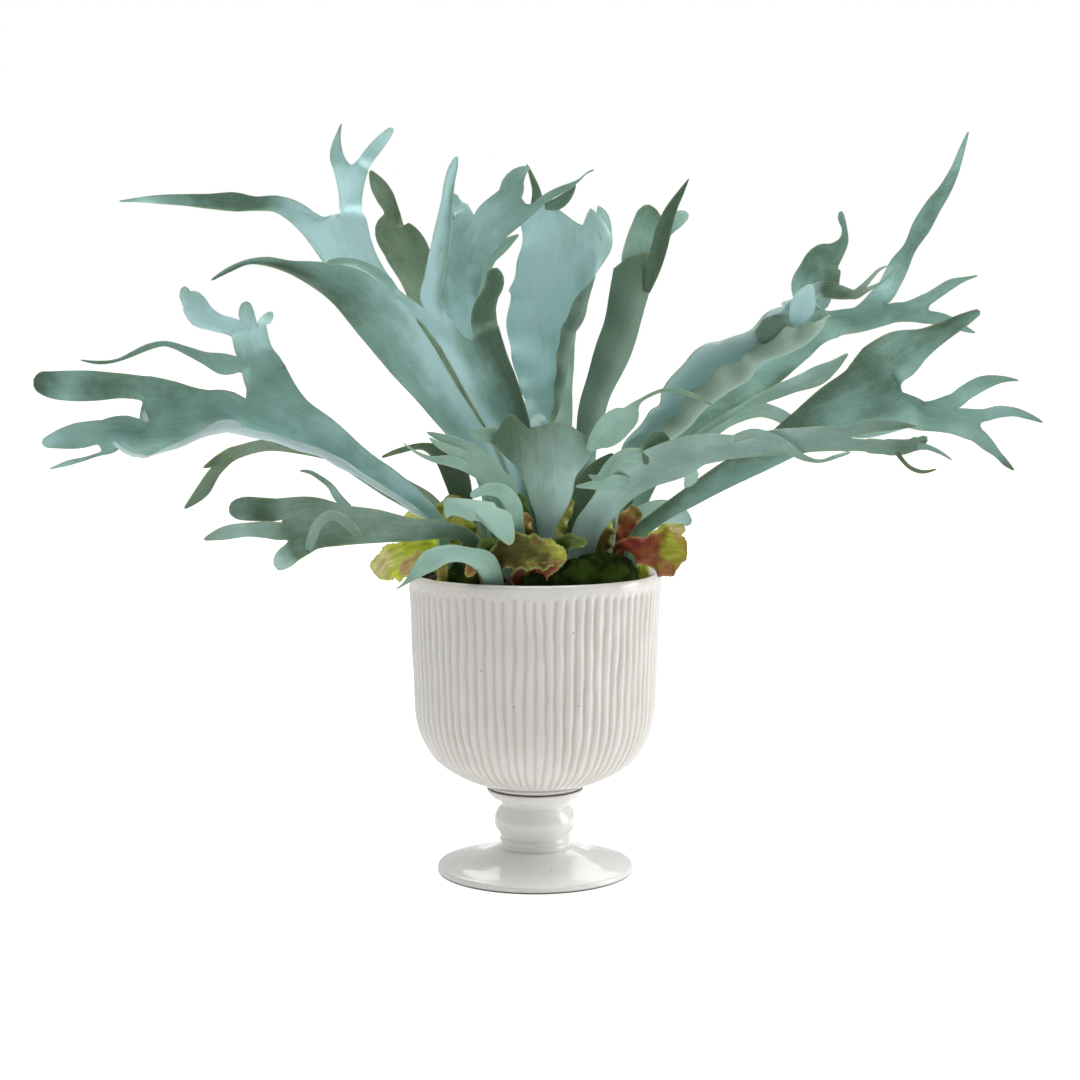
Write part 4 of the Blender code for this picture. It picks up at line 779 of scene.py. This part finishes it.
def place(name, mesh, material, slot, *nodes):
    """Put a finished mesh in the scene as a piece of the object that stands for the nodes."""
    piece = bpy.data.objects.new(name, mesh)
    mesh.materials.append(material)
    bpy.context.scene.collection.objects.link(piece)
    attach(piece, "root")
    if nodes:
        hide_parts(*nodes)


def turned_grid(radius, height, sides):
    """Points at each height and angle, and faces that close the turn; rows go bottom to top outside."""
    angle = np.linspace(0, 2 * math.pi, sides, endpoint=False)[None]
    rings = np.stack(np.broadcast_arrays(radius * np.cos(angle), radius * np.sin(angle), height), -1)
    return rings, ring_faces(*rings.shape[:2])


def ring_faces(rows, sides):
    index = np.arange(rows * sides).reshape(rows, sides)
    after = np.roll(index, -1, axis=1)
    return np.stack([index[:-1], after[:-1], after[1:], index[1:]], -1).reshape(-1, 4)


# ---- the urn ----
def profile_curve(knots, spacing):
    """Radius and height along a smooth curve through the knots, at an even spacing."""
    rows = np.zeros((len(knots), 3))
    rows[:, [0, 2]] = knots
    total = np.linalg.norm(np.diff(rows, axis=0), axis=1).sum()
    value, _, _ = smooth_path(rows, round(total / spacing))
    return value[:, 0], value[:, 2]


BOWL_OUTSIDE = [(30, 71.6), (39.5, 71.6), (44.9, 75), (57.5, 80), (67.2, 85), (75.1, 90), (81.4, 95),
                (86, 100), (92.6, 111), (96.8, 121), (99.2, 131), (100.4, 146), (101.1, 166),
                (102.2, 187), (102.9, 217), (103.6, 232), (104.6, 249), (104.5, 252), (103.2, 253)]
BOWL_INSIDE = [(101.6, 253), (100, 252.2), (98.4, 250), (97.4, 240), (96.6, 200)]
FLUTES = 78
TURN_SIDES = 160          # steps round the foot and the seam
SEAM_SIDES = 8            # steps round the section of the seam
SEAM_RADIUS, SEAM_HEIGHT = 40.1, 71.45


def bowl_mesh():
    """The fluted bowl: radius(z) + depth(z) * flute(angle), turned round the axis.

    The flute is a round ridge, |cos|^1.3 of half the phase, with a soft groove between two.
    Its phase is the angle times the number of flutes plus a slow wobble of angle and height,
    as a tool drawn by hand leaves it. The depth fades out under the lip and above the base.
    """
    sides = FLUTES * 10
    r_out, z_out = profile_curve(BOWL_OUTSIDE, 2.2)
    r_in, z_in = profile_curve(BOWL_INSIDE, 4)
    radius, height = np.concatenate([r_out, r_in])[:, None], np.concatenate([z_out, z_in])[:, None]
    angle = np.linspace(0, 2 * math.pi, sides, endpoint=False)[None]
    place_on = np.stack(np.broadcast_arrays(np.cos(angle) * 100, np.sin(angle) * 100, height * 0.5), -1)
    phase = angle * FLUTES + 0.9 * ripple(place_on, 34, 3) + 0.5 * ripple(place_on, 12, 5)
    ridge = np.abs(np.cos(phase / 2)) ** 1.3
    outside = (np.arange(len(radius)) < len(r_out))[:, None]
    start = 244.5 + 1.6 * ripple(place_on, 22, 7)
    fade = ease((start - height) / 5) * ease((height - 77) / 8) * outside
    depth = (1.9 + 0.6 * ripple(place_on, 26, 11)) * fade * np.minimum(1, radius / 85)
    wall = radius + depth * (ridge - 0.7)
    points = np.stack([wall * np.cos(angle), wall * np.sin(angle), height + 0 * angle], -1)
    points[0] = [0, 0, z_out[0]]
    points[-1, :] = [0, 0, z_in[-1]]
    mesh = new_mesh("fluted_bowl", points.reshape(-1, 3) * MM, ring_faces(*wall.shape))
    groove = (1 - ridge) * fade
    nothing = np.zeros_like(groove)
    mark(mesh, "groove_glaze_and_shade", np.stack([groove, nothing, nothing], -1).reshape(-1, 3))
    return mesh


FOOT_OUTSIDE = [(0, 2.5), (40, 2.5), (66, 2.5), (67.3, 1.2), (68.2, 0.2), (70, 0), (74, 0), (78, 0),
                (80.2, 0), (81.4, 0.5), (82, 1.6), (82, 4.4), (81.4, 5.6), (78, 6.5), (60, 10), (45, 14),
                (36, 18), (31, 20), (28.4, 20.6), (29.9, 22.4), (29.8, 23.6), (28.9, 25), (29.8, 26.4),
                (29.9, 27.8), (28.6, 30), (30.2, 33.5), (33.4, 38.5), (34.4, 44.2), (33.2, 49.2),
                (30.3, 54), (28.2, 57), (29.4, 59.3), (37, 64.4), (40.3, 69.5), (40.1, 70.8),
                (38.6, 71.3), (0, 71.3)]


def foot_mesh():
    """The turned foot: its profile, with a slight unevenness of the throwing, turned round the axis."""
    radius, height = profile_curve(FOOT_OUTSIDE, 1.1)
    rings, faces = turned_grid(radius[:, None], height[:, None], TURN_SIDES)
    uneven = ripple(rings * [1, 1, 2], 30, 21) * 0.15 * ease(radius / 20)[:, None] * ease(height / 6)[:, None]
    rings[..., :2] *= (1 + uneven / np.maximum(radius, 5)[:, None])[..., None]
    return new_mesh("turned_foot", rings.reshape(-1, 3) * MM, faces)


def seam_mesh():
    """The dark line where the bowl stands on the collar, partly a dark joint and partly painted shadow in the
    gap: a thin ring of round section.
    """
    turn = np.linspace(-math.pi, math.pi, SEAM_SIDES + 1)[:-1][:, None]
    ring, _ = turned_grid(SEAM_RADIUS + 0.9 * np.cos(turn), SEAM_HEIGHT + 0.75 * np.sin(turn), TURN_SIDES)
    index = np.arange(SEAM_SIDES * TURN_SIDES).reshape(SEAM_SIDES, TURN_SIDES)
    after = np.roll(index, -1, axis=1)
    faces = np.stack([index, after, np.roll(after, -1, axis=0), np.roll(index, -1, axis=0)], -1)
    return new_mesh("seam_joint_and_shadow", ring.reshape(-1, 3) * MM, faces.reshape(-1, 4))


# ---- moss and planting medium ----
def dome(u, v, x, y, long, wide, high, turn):
    """A cushion: v runs from its foot (0) to its top (1) along a quarter of a rounded square, u round it."""
    lift, out = np.sin(v * math.pi / 2) ** 0.8, np.cos(v * math.pi / 2) ** 0.7
    a, b = out * long * np.cos(u), out * wide * np.sin(u)
    c, s = math.cos(math.radians(turn)), math.sin(math.radians(turn))
    return np.stack([x + a * c - b * s, y + a * s + b * c, SEAT - 3 + lift * (high + 3) + 0 * a], -1)


def moss_lumps(points, seed):
    """How far the moss swells at each point: broad lumps 13 mm apart and small ones 4 mm apart."""
    return (2.0 * ripple(points, 13, seed) + 0.7 * ripple(points, 4, seed + 1))[..., None]


def moss_mesh(name, *size):
    """A lumpy dome, and over it some hundreds of short three-sided spikes for its pile."""
    seed = sum(name.encode())
    draw = np.random.default_rng(seed)
    u = np.linspace(0, 2 * math.pi, 72, endpoint=False)[None]
    v = np.linspace(0, 1, 26)[:, None]
    points = dome(u, v, *size)
    middle = np.array([size[0], size[1], SEAT])
    out = unit(points - middle)
    points = points + out * moss_lumps(points, seed)
    points[-1] = points[-1].mean(0)
    faces = ring_faces(26, 72)
    count = round(9 * size[2] * size[3])
    su, sv = draw.uniform(0, 2 * math.pi, count), draw.uniform(0.02, 1, count) ** 1.3
    foot = dome(su, sv, *size)
    foot = foot + unit(foot - middle) * moss_lumps(foot, seed)
    lean = unit(unit(foot - middle) + 0.5 * draw.normal(size=(count, 3)))
    side = unit(np.cross(lean, draw.normal(size=(count, 3))))
    third = np.cross(lean, side)
    tip = foot + lean * draw.uniform(0.9, 2.2, (count, 1))
    fat = 0.22
    base = [foot + fat * (math.cos(t) * side + math.sin(t) * third) - lean * 0.5 for t in (0, 2.094, 4.189)]
    spikes = np.stack([*base, tip], 1)
    corner = len(points.reshape(-1, 3)) + np.arange(count)[:, None] * 4
    three = np.concatenate([corner + c for c in ([0, 1, 3], [1, 2, 3], [2, 0, 3], [2, 1, 0])])
    quads = np.concatenate([faces[:, [0, 1, 2]], faces[:, [0, 2, 3]]])
    every = np.vstack([points.reshape(-1, 3), spikes.reshape(-1, 3)])
    return new_mesh(name, every * MM, np.vstack([quads, three]))


def medium_mesh():
    """The top of the planting medium: a lumpy disc that dips 3 mm at the wall, and a plain underside."""
    v = np.linspace(0, 1, 60)[:, None]
    u = np.linspace(0, 2 * math.pi, 180, endpoint=False)[None]
    radius = 96.2 * v
    x, y = radius * np.cos(u), radius * np.sin(u)
    flat = np.stack([x, y, 0 * x], -1)
    lumps = 1.3 * ripple(flat, 17, 31) + 1.1 * np.abs(ripple(flat, 6, 33))
    height = SEAT - 1 + lumps - 3 * ease((radius - 84) / 12)
    top = np.stack([x, y, height], -1)
    top[0] = top[0].mean(0)
    wall = np.stack([x[-1], y[-1], x[-1] * 0 + SEAT - 26], -1)[None]
    end = np.broadcast_to([0.0, 0.0, SEAT - 26], wall.shape)
    rings = np.concatenate([top, wall, end])[::-1]
    return new_mesh("bark_mix", rings.reshape(-1, 3) * MM, ring_faces(*rings.shape[:2]))


def chips_mesh(count=420):
    """Bark chips: eight-cornered slabs of random size and lean, strewn over the medium."""
    draw = np.random.default_rng(8)
    corner = np.array([(a, b, c) for c in (-1, 1) for a, b in ((-1, -1), (1, -1), (1, 1), (-1, 1))], float)
    half = draw.uniform([1.6, 1.0, 0.5], [5.5, 2.6, 1.2], (count, 3))
    shape = corner[None] * half[:, None] * (1 + 0.3 * draw.uniform(-1, 1, (count, 8, 3)))
    yaw, lean = draw.uniform(0, 2 * math.pi, count), draw.normal(0, 0.35, (count, 2))
    x_way = unit(np.stack([np.cos(yaw), np.sin(yaw), lean[:, 0]], -1))
    y_way = unit(np.cross(np.stack([lean[:, 1], 0 * yaw, 1 + 0 * yaw], -1), x_way))
    z_way = np.cross(x_way, y_way)
    spin = np.stack([x_way, y_way, z_way], 1)
    r, a = 90 * np.sqrt(draw.uniform(0, 1, count)), draw.uniform(0, 2 * math.pi, count)
    level = SEAT + draw.uniform(-0.5, 1.8, count) - 2 * ease((r - 80) / 12)
    middle = np.stack([r * np.cos(a), r * np.sin(a), level], -1)
    points = middle[:, None] + shape @ spin
    box_faces = np.array([(0, 3, 2, 1), (4, 5, 6, 7), (0, 1, 5, 4), (1, 2, 6, 5), (2, 3, 7, 6), (3, 0, 4, 7)])
    faces = (np.arange(count)[:, None, None] * 8 + box_faces[None]).reshape(-1, 4)
    mesh = new_mesh("bark_chips", points.reshape(-1, 3) * MM, faces)
    mesh.shade_flat()
    return mesh


# ---- materials ----
def node(tree, kind, settings=None, **inputs):
    """Add a node. settings are its properties; inputs are its sockets, as values or as links."""
    made = tree.nodes.new("ShaderNode" + kind)
    for key, value in (settings or {}).items():
        setattr(made, key, value)
    for key, value in inputs.items():
        connect(tree, made.inputs[key.replace("_", " ")], value)
    return made


def connect(tree, socket, value):
    if isinstance(value, bpy.types.NodeSocket):
        tree.links.new(value, socket)
    else:
        socket.default_value = (*value, 1) if socket.type == "RGBA" and len(value) == 3 else value


def math_node(tree, operation, a, b=0.0):
    made = node(tree, "Math", {"operation": operation})
    connect(tree, made.inputs[0], a)
    connect(tree, made.inputs[1], b)
    return made.outputs[0]


def ramp(tree, value, low, high, start=0.0, end=1.0):
    """Smooth step of a value between low and high."""
    made = node(tree, "MapRange", {"interpolation_type": "SMOOTHSTEP"}, From_Min=low, From_Max=high,
                To_Min=start, To_Max=end)
    connect(tree, made.inputs["Value"], value)
    return made.outputs["Result"]


def blend(tree, factor, a, b, mode="MIX"):
    """Mix two colours."""
    made = node(tree, "Mix", {"data_type": "RGBA", "blend_type": mode})
    for socket, value in zip((made.inputs[0], made.inputs[6], made.inputs[7]), (factor, a, b)):
        connect(tree, socket, value)
    return made.outputs[2]


def noise(tree, vector, scale, detail=3.0, stretch=(1, 1, 1), rough=0.5):
    spot = node(tree, "Mapping", Scale=stretch, Vector=vector)
    made = node(tree, "TexNoise", Vector=spot.outputs[0], Scale=scale, Detail=detail, Roughness=rough)
    return made.outputs["Fac"]


def object_place(tree):
    return node(tree, "TexCoord").outputs["Object"]


def field(tree, name):
    """The three parts of a stored vector, and the vector."""
    read = node(tree, "Attribute", {"attribute_name": name, "attribute_type": "GEOMETRY"}).outputs["Vector"]
    split = node(tree, "SeparateXYZ", Vector=read)
    return split.outputs[0], split.outputs[1], split.outputs[2], read


def group(name, inputs, outputs):
    """A node group with its sockets: inputs as (name, default), a colour where that has three parts."""
    tree = bpy.data.node_groups.new(name, "ShaderNodeTree")
    for label, value in inputs:
        kind = "NodeSocketColor" if isinstance(value, tuple) else "NodeSocketFloat"
        socket = tree.interface.new_socket(label, in_out="INPUT", socket_type=kind)
        socket.default_value = (*value, 1) if isinstance(value, tuple) else value
    for label, kind in outputs:
        tree.interface.new_socket(label, in_out="OUTPUT", socket_type="NodeSocket" + kind)
    return tree, tree.nodes.new("NodeGroupInput").outputs, tree.nodes.new("NodeGroupOutput").inputs


def frond_skin_group():
    """Colour, roughness and relief of a frond.

    The stored tone, which holds painted light and shade as well as the leaf's own colour, stirred
    by broad clouds and by patches stretched along the blade, leads from powdery pale skin through
    its body colour to deep green. Fine lengthwise veins and a broken yellow-green line along the thin rim lie
    over it.
    """
    tree, given, out = group(
        "frond_skin",
        [("Pale", (0.3, 0.5, 0.45)), ("Body", (0.2, 0.35, 0.28)), ("Deep", (0.08, 0.2, 0.12)),
         ("Under", (0.3, 0.45, 0.4)), ("Rim", (0.3, 0.4, 0.1))],
        [("Color", "Color"), ("Roughness", "Float"), ("Height", "Float")])
    spot = object_place(tree)
    _, _, margin, ribbon = field(tree, "ribbon")
    _, tone, under, _ = field(tree, "growth")
    cloud = noise(tree, spot, 15, 3, rough=0.5)
    patch = noise(tree, ribbon, 42, 4, stretch=(1, 0.55, 0), rough=0.6)
    vein = noise(tree, ribbon, 420, 2, stretch=(1, 0.035, 0))
    grain = noise(tree, spot, 900, 2)
    both = math_node(tree, "SUBTRACT", math_node(tree, "ADD", cloud, patch), 1.0)
    stir = math_node(tree, "MULTIPLY", both, 0.85)
    # depth of green from the tone, partly painted light and painted shade
    depth = math_node(tree, "ADD", tone, stir)
    skin = blend(tree, ramp(tree, depth, -0.05, 0.5), given["Pale"], given["Body"])
    skin = blend(tree, ramp(tree, depth, 0.42, 1.0), skin, given["Deep"])
    back = blend(tree, ramp(tree, depth, 0.3, 1.3, 0.0, 0.6), given["Under"], given["Deep"])
    skin = blend(tree, under, skin, back)
    skin = blend(tree, ramp(tree, vein, 0.35, 0.7, 0.0, 0.2), skin, (0.75, 0.82, 0.72), "SOFT_LIGHT")
    line = math_node(tree, "MULTIPLY", ramp(tree, margin, 0.0022, 0.0003),
                     ramp(tree, noise(tree, ribbon, 60, 2), 0.38, 0.6))
    skin = blend(tree, math_node(tree, "MULTIPLY", line, 0.4), skin, given["Rim"])
    skin = blend(tree, ramp(tree, grain, 0.3, 0.75, 0.0, 0.06), skin, (0.9, 0.95, 0.9), "SCREEN")
    connect(tree, out["Color"], skin)
    connect(tree, out["Roughness"], ramp(tree, grain, 0.2, 0.8, 0.42, 0.62))
    connect(tree, out["Height"], math_node(tree, "ADD", vein, math_node(tree, "MULTIPLY", grain, 0.35)))
    return tree


def shield_skin_group():
    """Colour, roughness and relief of a shield leaf: base, body and tip colours along it, blotches
    of blush, dark veins that spread lengthwise, a fine net between them, and a pale rim."""
    tree, given, out = group(
        "shield_skin",
        [("Base", (0.2, 0.3, 0.05)), ("Body", (0.3, 0.35, 0.05)), ("Tip", (0.5, 0.5, 0.1)),
         ("Blush", (0.4, 0.12, 0.04)), ("Rim", (0.5, 0.5, 0.1)), ("Blush Amount", 0.4)],
        [("Color", "Color"), ("Roughness", "Float"), ("Height", "Float")])
    spot = object_place(tree)
    _, _, margin, ribbon = field(tree, "ribbon")
    reach, _, _, _ = field(tree, "growth")
    cloud = noise(tree, spot, 45, 4)
    vein = noise(tree, ribbon, 300, 3, stretch=(1, 0.14, 0))
    grain = noise(tree, spot, 700, 3)
    cells = node(tree, "TexVoronoi", {"feature": "DISTANCE_TO_EDGE"}, Vector=spot, Scale=420)
    net = cells.outputs["Distance"]
    stir = math_node(tree, "MULTIPLY", math_node(tree, "SUBTRACT", cloud, 0.5), 0.9)
    stirred = math_node(tree, "ADD", reach, stir)
    skin = blend(tree, ramp(tree, stirred, 0.1, 0.55), given["Base"], given["Body"])
    skin = blend(tree, ramp(tree, stirred, 0.62, 0.95), skin, given["Tip"])
    patches = ramp(tree, noise(tree, spot, 70, 3), 0.45, 0.62)
    blotch = math_node(tree, "MULTIPLY", patches, given["Blush Amount"])
    skin = blend(tree, blotch, skin, given["Blush"])
    skin = blend(tree, ramp(tree, vein, 0.42, 0.62, 0.0, 0.4), skin, (0.45, 0.38, 0.18), "MULTIPLY")
    skin = blend(tree, ramp(tree, net, 0.12, 0.02, 0.0, 0.25), skin, (0.30, 0.25, 0.10), "MULTIPLY")
    skin = blend(tree, ramp(tree, margin, 0.003, 0.0003, 0.0, 0.8), skin, given["Rim"])
    connect(tree, out["Color"], skin)
    connect(tree, out["Roughness"], ramp(tree, grain, 0.2, 0.8, 0.38, 0.6))
    connect(tree, out["Height"], math_node(tree, "ADD", vein, math_node(tree, "MULTIPLY", grain, 0.4)))
    return tree


def new_material(name, **constants):
    """A Principled material with its constant sockets set, and its tree and shader."""
    material = bpy.data.materials.new(name)
    material.use_nodes = True
    tree = material.node_tree
    shader = tree.nodes["Principled BSDF"]
    for key, value in constants.items():
        shader.inputs[key.replace("_", " ")].default_value = value
    return material, tree, shader


def relief(tree, shader, height, strength, distance):
    bump = node(tree, "Bump", Strength=strength, Distance=distance, Height=height)
    tree.links.new(bump.outputs[0], shader.inputs["Normal"])


def skin_material(name, skin, values, strength, distance, **constants):
    """A leaf material: the skin group with this leaf's own colours."""
    material, tree, shader = new_material(name, **constants)
    made = tree.nodes.new("ShaderNodeGroup")
    made.node_tree = skin
    for key, value in values.items():
        connect(tree, made.inputs[key.replace("_", " ")], value)
    tree.links.new(made.outputs["Color"], shader.inputs["Base Color"])
    tree.links.new(made.outputs["Roughness"], shader.inputs["Roughness"])
    relief(tree, shader, made.outputs["Height"], strength, distance)
    return material


def glaze_material():
    """Warm white glaze that pools darker in the grooves, where the darkening is partly pooled glaze
    and partly painted shade, with faint clouding, pinholes, a lighter white painted on the foot as painted
    light, and a dark band round the bottom 2.4 mm of the foot."""
    material, tree, shader = new_material("warm_white_glaze", Coat_Weight=0.7, Coat_Roughness=0.04)
    spot = object_place(tree)
    groove, _, _, _ = field(tree, "groove_glaze_and_shade")
    cloud = noise(tree, spot, 18, 4)
    white = blend(tree, ramp(tree, cloud, 0.3, 0.7), (0.76, 0.73, 0.68), (0.82, 0.80, 0.76))
    height = node(tree, "SeparateXYZ", Vector=spot).outputs[2]
    # painted light: below 65-75 mm, on the foot, the glaze is painted a lighter white
    white = blend(tree, ramp(tree, height, 0.075, 0.065), white, (0.92, 0.91, 0.88))
    # darker in the grooves: partly pooled glaze, partly painted shade
    white = blend(tree, ramp(tree, groove, 0.25, 0.95, 0.0, 0.55), white, (0.55, 0.50, 0.43))
    hole = node(tree, "TexVoronoi", {"feature": "F1"}, Vector=spot, Scale=95)
    rare = ramp(tree, noise(tree, spot, 60, 1), 0.62, 0.66)
    pin = math_node(tree, "MULTIPLY", ramp(tree, hole.outputs["Distance"], 0.075, 0.045), rare)
    white = blend(tree, pin, white, (0.20, 0.15, 0.10))
    # darker round the bottom 2.4 mm of the foot
    white = blend(tree, ramp(tree, height, 0.0024, 0.0012), white, (0.13, 0.09, 0.06))
    connect(tree, shader.inputs["Base Color"], white)
    connect(tree, shader.inputs["Roughness"], ramp(tree, cloud, 0.3, 0.7, 0.16, 0.26))
    wave = math_node(tree, "SUBTRACT", noise(tree, spot, 70, 2), math_node(tree, "MULTIPLY", pin, 0.6))
    relief(tree, shader, wave, 0.25, 0.0012)
    return material


# the seam's dark colour: partly dark joint filling, partly painted shadow in the gap under the bowl
def seam_joint_and_shadow_material():
    material, tree, shader = new_material("seam_joint_and_painted_shadow")
    streak = noise(tree, object_place(tree), 140, 3)
    connect(tree, shader.inputs["Base Color"],
            blend(tree, ramp(tree, streak, 0.35, 0.65), (0.035, 0.018, 0.010), (0.11, 0.065, 0.04)))
    connect(tree, shader.inputs["Roughness"], ramp(tree, streak, 0.3, 0.7, 0.3, 0.5))
    return material


def moss_material():
    """Dark velvet green, with fine lighter flecks."""
    material, tree, shader = new_material("velvet_moss", Specular_IOR_Level=0.1)
    spot = object_place(tree)
    cloud, fibre = noise(tree, spot, 55, 4), noise(tree, spot, 900, 2)
    green = blend(tree, ramp(tree, cloud, 0.40, 0.62), (0.004, 0.008, 0.001), (0.034, 0.062, 0.006))
    green = blend(tree, ramp(tree, fibre, 0.45, 0.75, 0.0, 0.6), green, (0.035, 0.065, 0.009))
    connect(tree, shader.inputs["Base Color"], green)
    connect(tree, shader.inputs["Roughness"], ramp(tree, fibre, 0.2, 0.8, 0.8, 1.0))
    relief(tree, shader, fibre, 0.6, 0.0008)
    return material


def bark_material():
    material, tree, shader = new_material("bark_and_fibre")
    spot = object_place(tree)
    cloud, fibre = noise(tree, spot, 120, 5), noise(tree, spot, 420, 4, stretch=(1, 0.3, 1))
    brown = blend(tree, ramp(tree, cloud, 0.3, 0.7), (0.018, 0.011, 0.007), (0.085, 0.05, 0.028))
    brown = blend(tree, ramp(tree, fibre, 0.5, 0.75, 0.0, 0.5), brown, (0.16, 0.11, 0.065))
    connect(tree, shader.inputs["Base Color"], brown)
    connect(tree, shader.inputs["Roughness"], ramp(tree, fibre, 0.2, 0.8, 0.75, 0.98))
    relief(tree, shader, fibre, 0.8, 0.0015)
    return material


# ---- build ----
def build_fronds():
    skin = frond_skin_group()
    kinds = {
        kind: skin_material("frond_" + kind, skin, values, 0.35, 0.0006, Specular_IOR_Level=0.35)
        for kind, values in FROND_SKINS.items()}
    for name, part in FRONDS.items():
        fine = max(3, round(26 / part["columns"]))
        mesh = leaf_mesh(name, part, FROND_PITCH, fine, 1.3, 0.5, 1.3, 0.12)
        kind = kinds[FROND_KIND.get(name, "blue")]
        place(name.replace("frond", "blade"), mesh, kind, "frond_green", name)
    for name, part in LOOSE_LOBES.items():
        mesh = leaf_mesh(name, part, FROND_PITCH, 5, 1.0, 0.5, 0.8, 0.1)
        place("lobe_" + name, mesh, kinds[FROND_KIND.get(name, "blue")], "frond_green")


def build_shields():
    skin = shield_skin_group()
    kinds = {kind: skin_material("shield_" + kind, skin, values, 0.6, 0.001, Specular_IOR_Level=0.4)
             for kind, values in SHIELD_SKINS.items()}
    for name, part in {**SHIELDS, **LOOSE_SHIELDS}.items():
        mesh = leaf_mesh(name, part, 1.4, 6, 0.9, 0.4, 0.6, 0.9)
        nodes = [name] if name in SHIELDS else []
        kind = kinds[SHIELD_KIND.get(name, "lime")]
        place(name.replace("shield", "leaf"), mesh, kind, "shield_leaf", *nodes)


def build_urn():
    glaze = glaze_material()
    place("fluted_bowl", bowl_mesh(), glaze, "white_glaze", "urn_bowl")
    place("turned_foot", foot_mesh(), glaze, "white_glaze", "urn_foot")
    place("seam_joint_and_shadow", seam_mesh(), seam_joint_and_shadow_material(), "white_glaze")


def build_ground_cover():
    bark, velvet = bark_material(), moss_material()
    place("bark_mix", medium_mesh(), bark, "planting_medium", "planting_medium")
    place("bark_chips", chips_mesh(), bark, "planting_medium")
    for name, size in MOSS.items():
        place(name.replace("moss", "cushion"), moss_mesh(name, *size), velvet, "moss", name)


def area_light(name, spot, aim, size, power):
    lamp = bpy.data.lights.new(name, "AREA")
    lamp.shape, lamp.size, lamp.size_y = "RECTANGLE", *size
    lamp.energy = power
    body = bpy.data.objects.new(name, lamp)
    bpy.context.scene.collection.objects.link(body)
    way = np.array(aim, float) - spot
    body.location = spot
    yaw, pitch = math.atan2(way[1], way[0]) - math.pi / 2, math.atan2(way[2], math.hypot(way[0], way[1]))
    body.rotation_euler = (pitch + math.pi / 2, 0, yaw)


def build_studio():
    """A wide white floor, a pale room that is dimmer towards the camera, and soft lights."""
    edge = 30.0
    corners = np.array([(-edge, -edge, 0), (edge, -edge, 0), (edge, edge, 0), (-edge, edge, 0)])
    mesh = new_mesh("studio_floor", corners, np.array([(0, 1, 2, 3)]))
    material, tree, shader = new_material("studio_white", Roughness=0.9, Specular_IOR_Level=0.1)
    shader.inputs["Base Color"].default_value = (0.93, 0.93, 0.93, 1)
    shader.inputs["Emission Color"].default_value = (1, 1, 1, 1)
    seen = node(tree, "LightPath").outputs["Is Camera Ray"]
    connect(tree, shader.inputs["Emission Strength"], ramp(tree, seen, 0, 1, *FLOOR_GLOW))
    mesh.materials.append(material)
    floor = bpy.data.objects.new("studio_floor", mesh)
    bpy.context.scene.collection.objects.link(floor)

    world = bpy.data.worlds.new("pale_room")
    world.use_nodes = True
    tree = world.node_tree
    tree.nodes.clear()
    way = node(tree, "TexCoord").outputs["Generated"]
    depth = node(tree, "SeparateXYZ", Vector=way).outputs[1]
    shade = ramp(tree, depth, -0.7, 0.6, ROOM_FRONT, ROOM_BACK)
    seen = node(tree, "LightPath").outputs["Is Camera Ray"]
    strength = math_node(tree, "MAXIMUM", shade, seen)
    light = node(tree, "Background", Strength=strength)
    light.inputs["Color"].default_value = (1, 1, 1, 1)
    final = node(tree, "OutputWorld")
    tree.links.new(light.outputs[0], final.inputs["Surface"])
    bpy.context.scene.world = world

    for name, spot, aim, size, power in LAMPS:
        area_light(name, spot, aim, size, power)


def build_camera():
    """A 70 mm lens, 1.75 m in front of the urn's axis, looking 5.7 degrees down."""
    lens = bpy.data.cameras.new("camera")
    lens.sensor_width, lens.lens = 36, 70.53
    body = bpy.data.objects.new("camera", lens)
    body.location = (0.0041, -1.74818, 0.4532)
    body.rotation_euler = (math.pi / 2 - 0.0993, 0, 0)
    bpy.context.scene.collection.objects.link(body)
    bpy.context.scene.camera = body
    bpy.context.scene.view_settings.view_transform = "Standard"


build_fronds()
build_shields()
build_ground_cover()
build_urn()
build_studio()
build_camera()
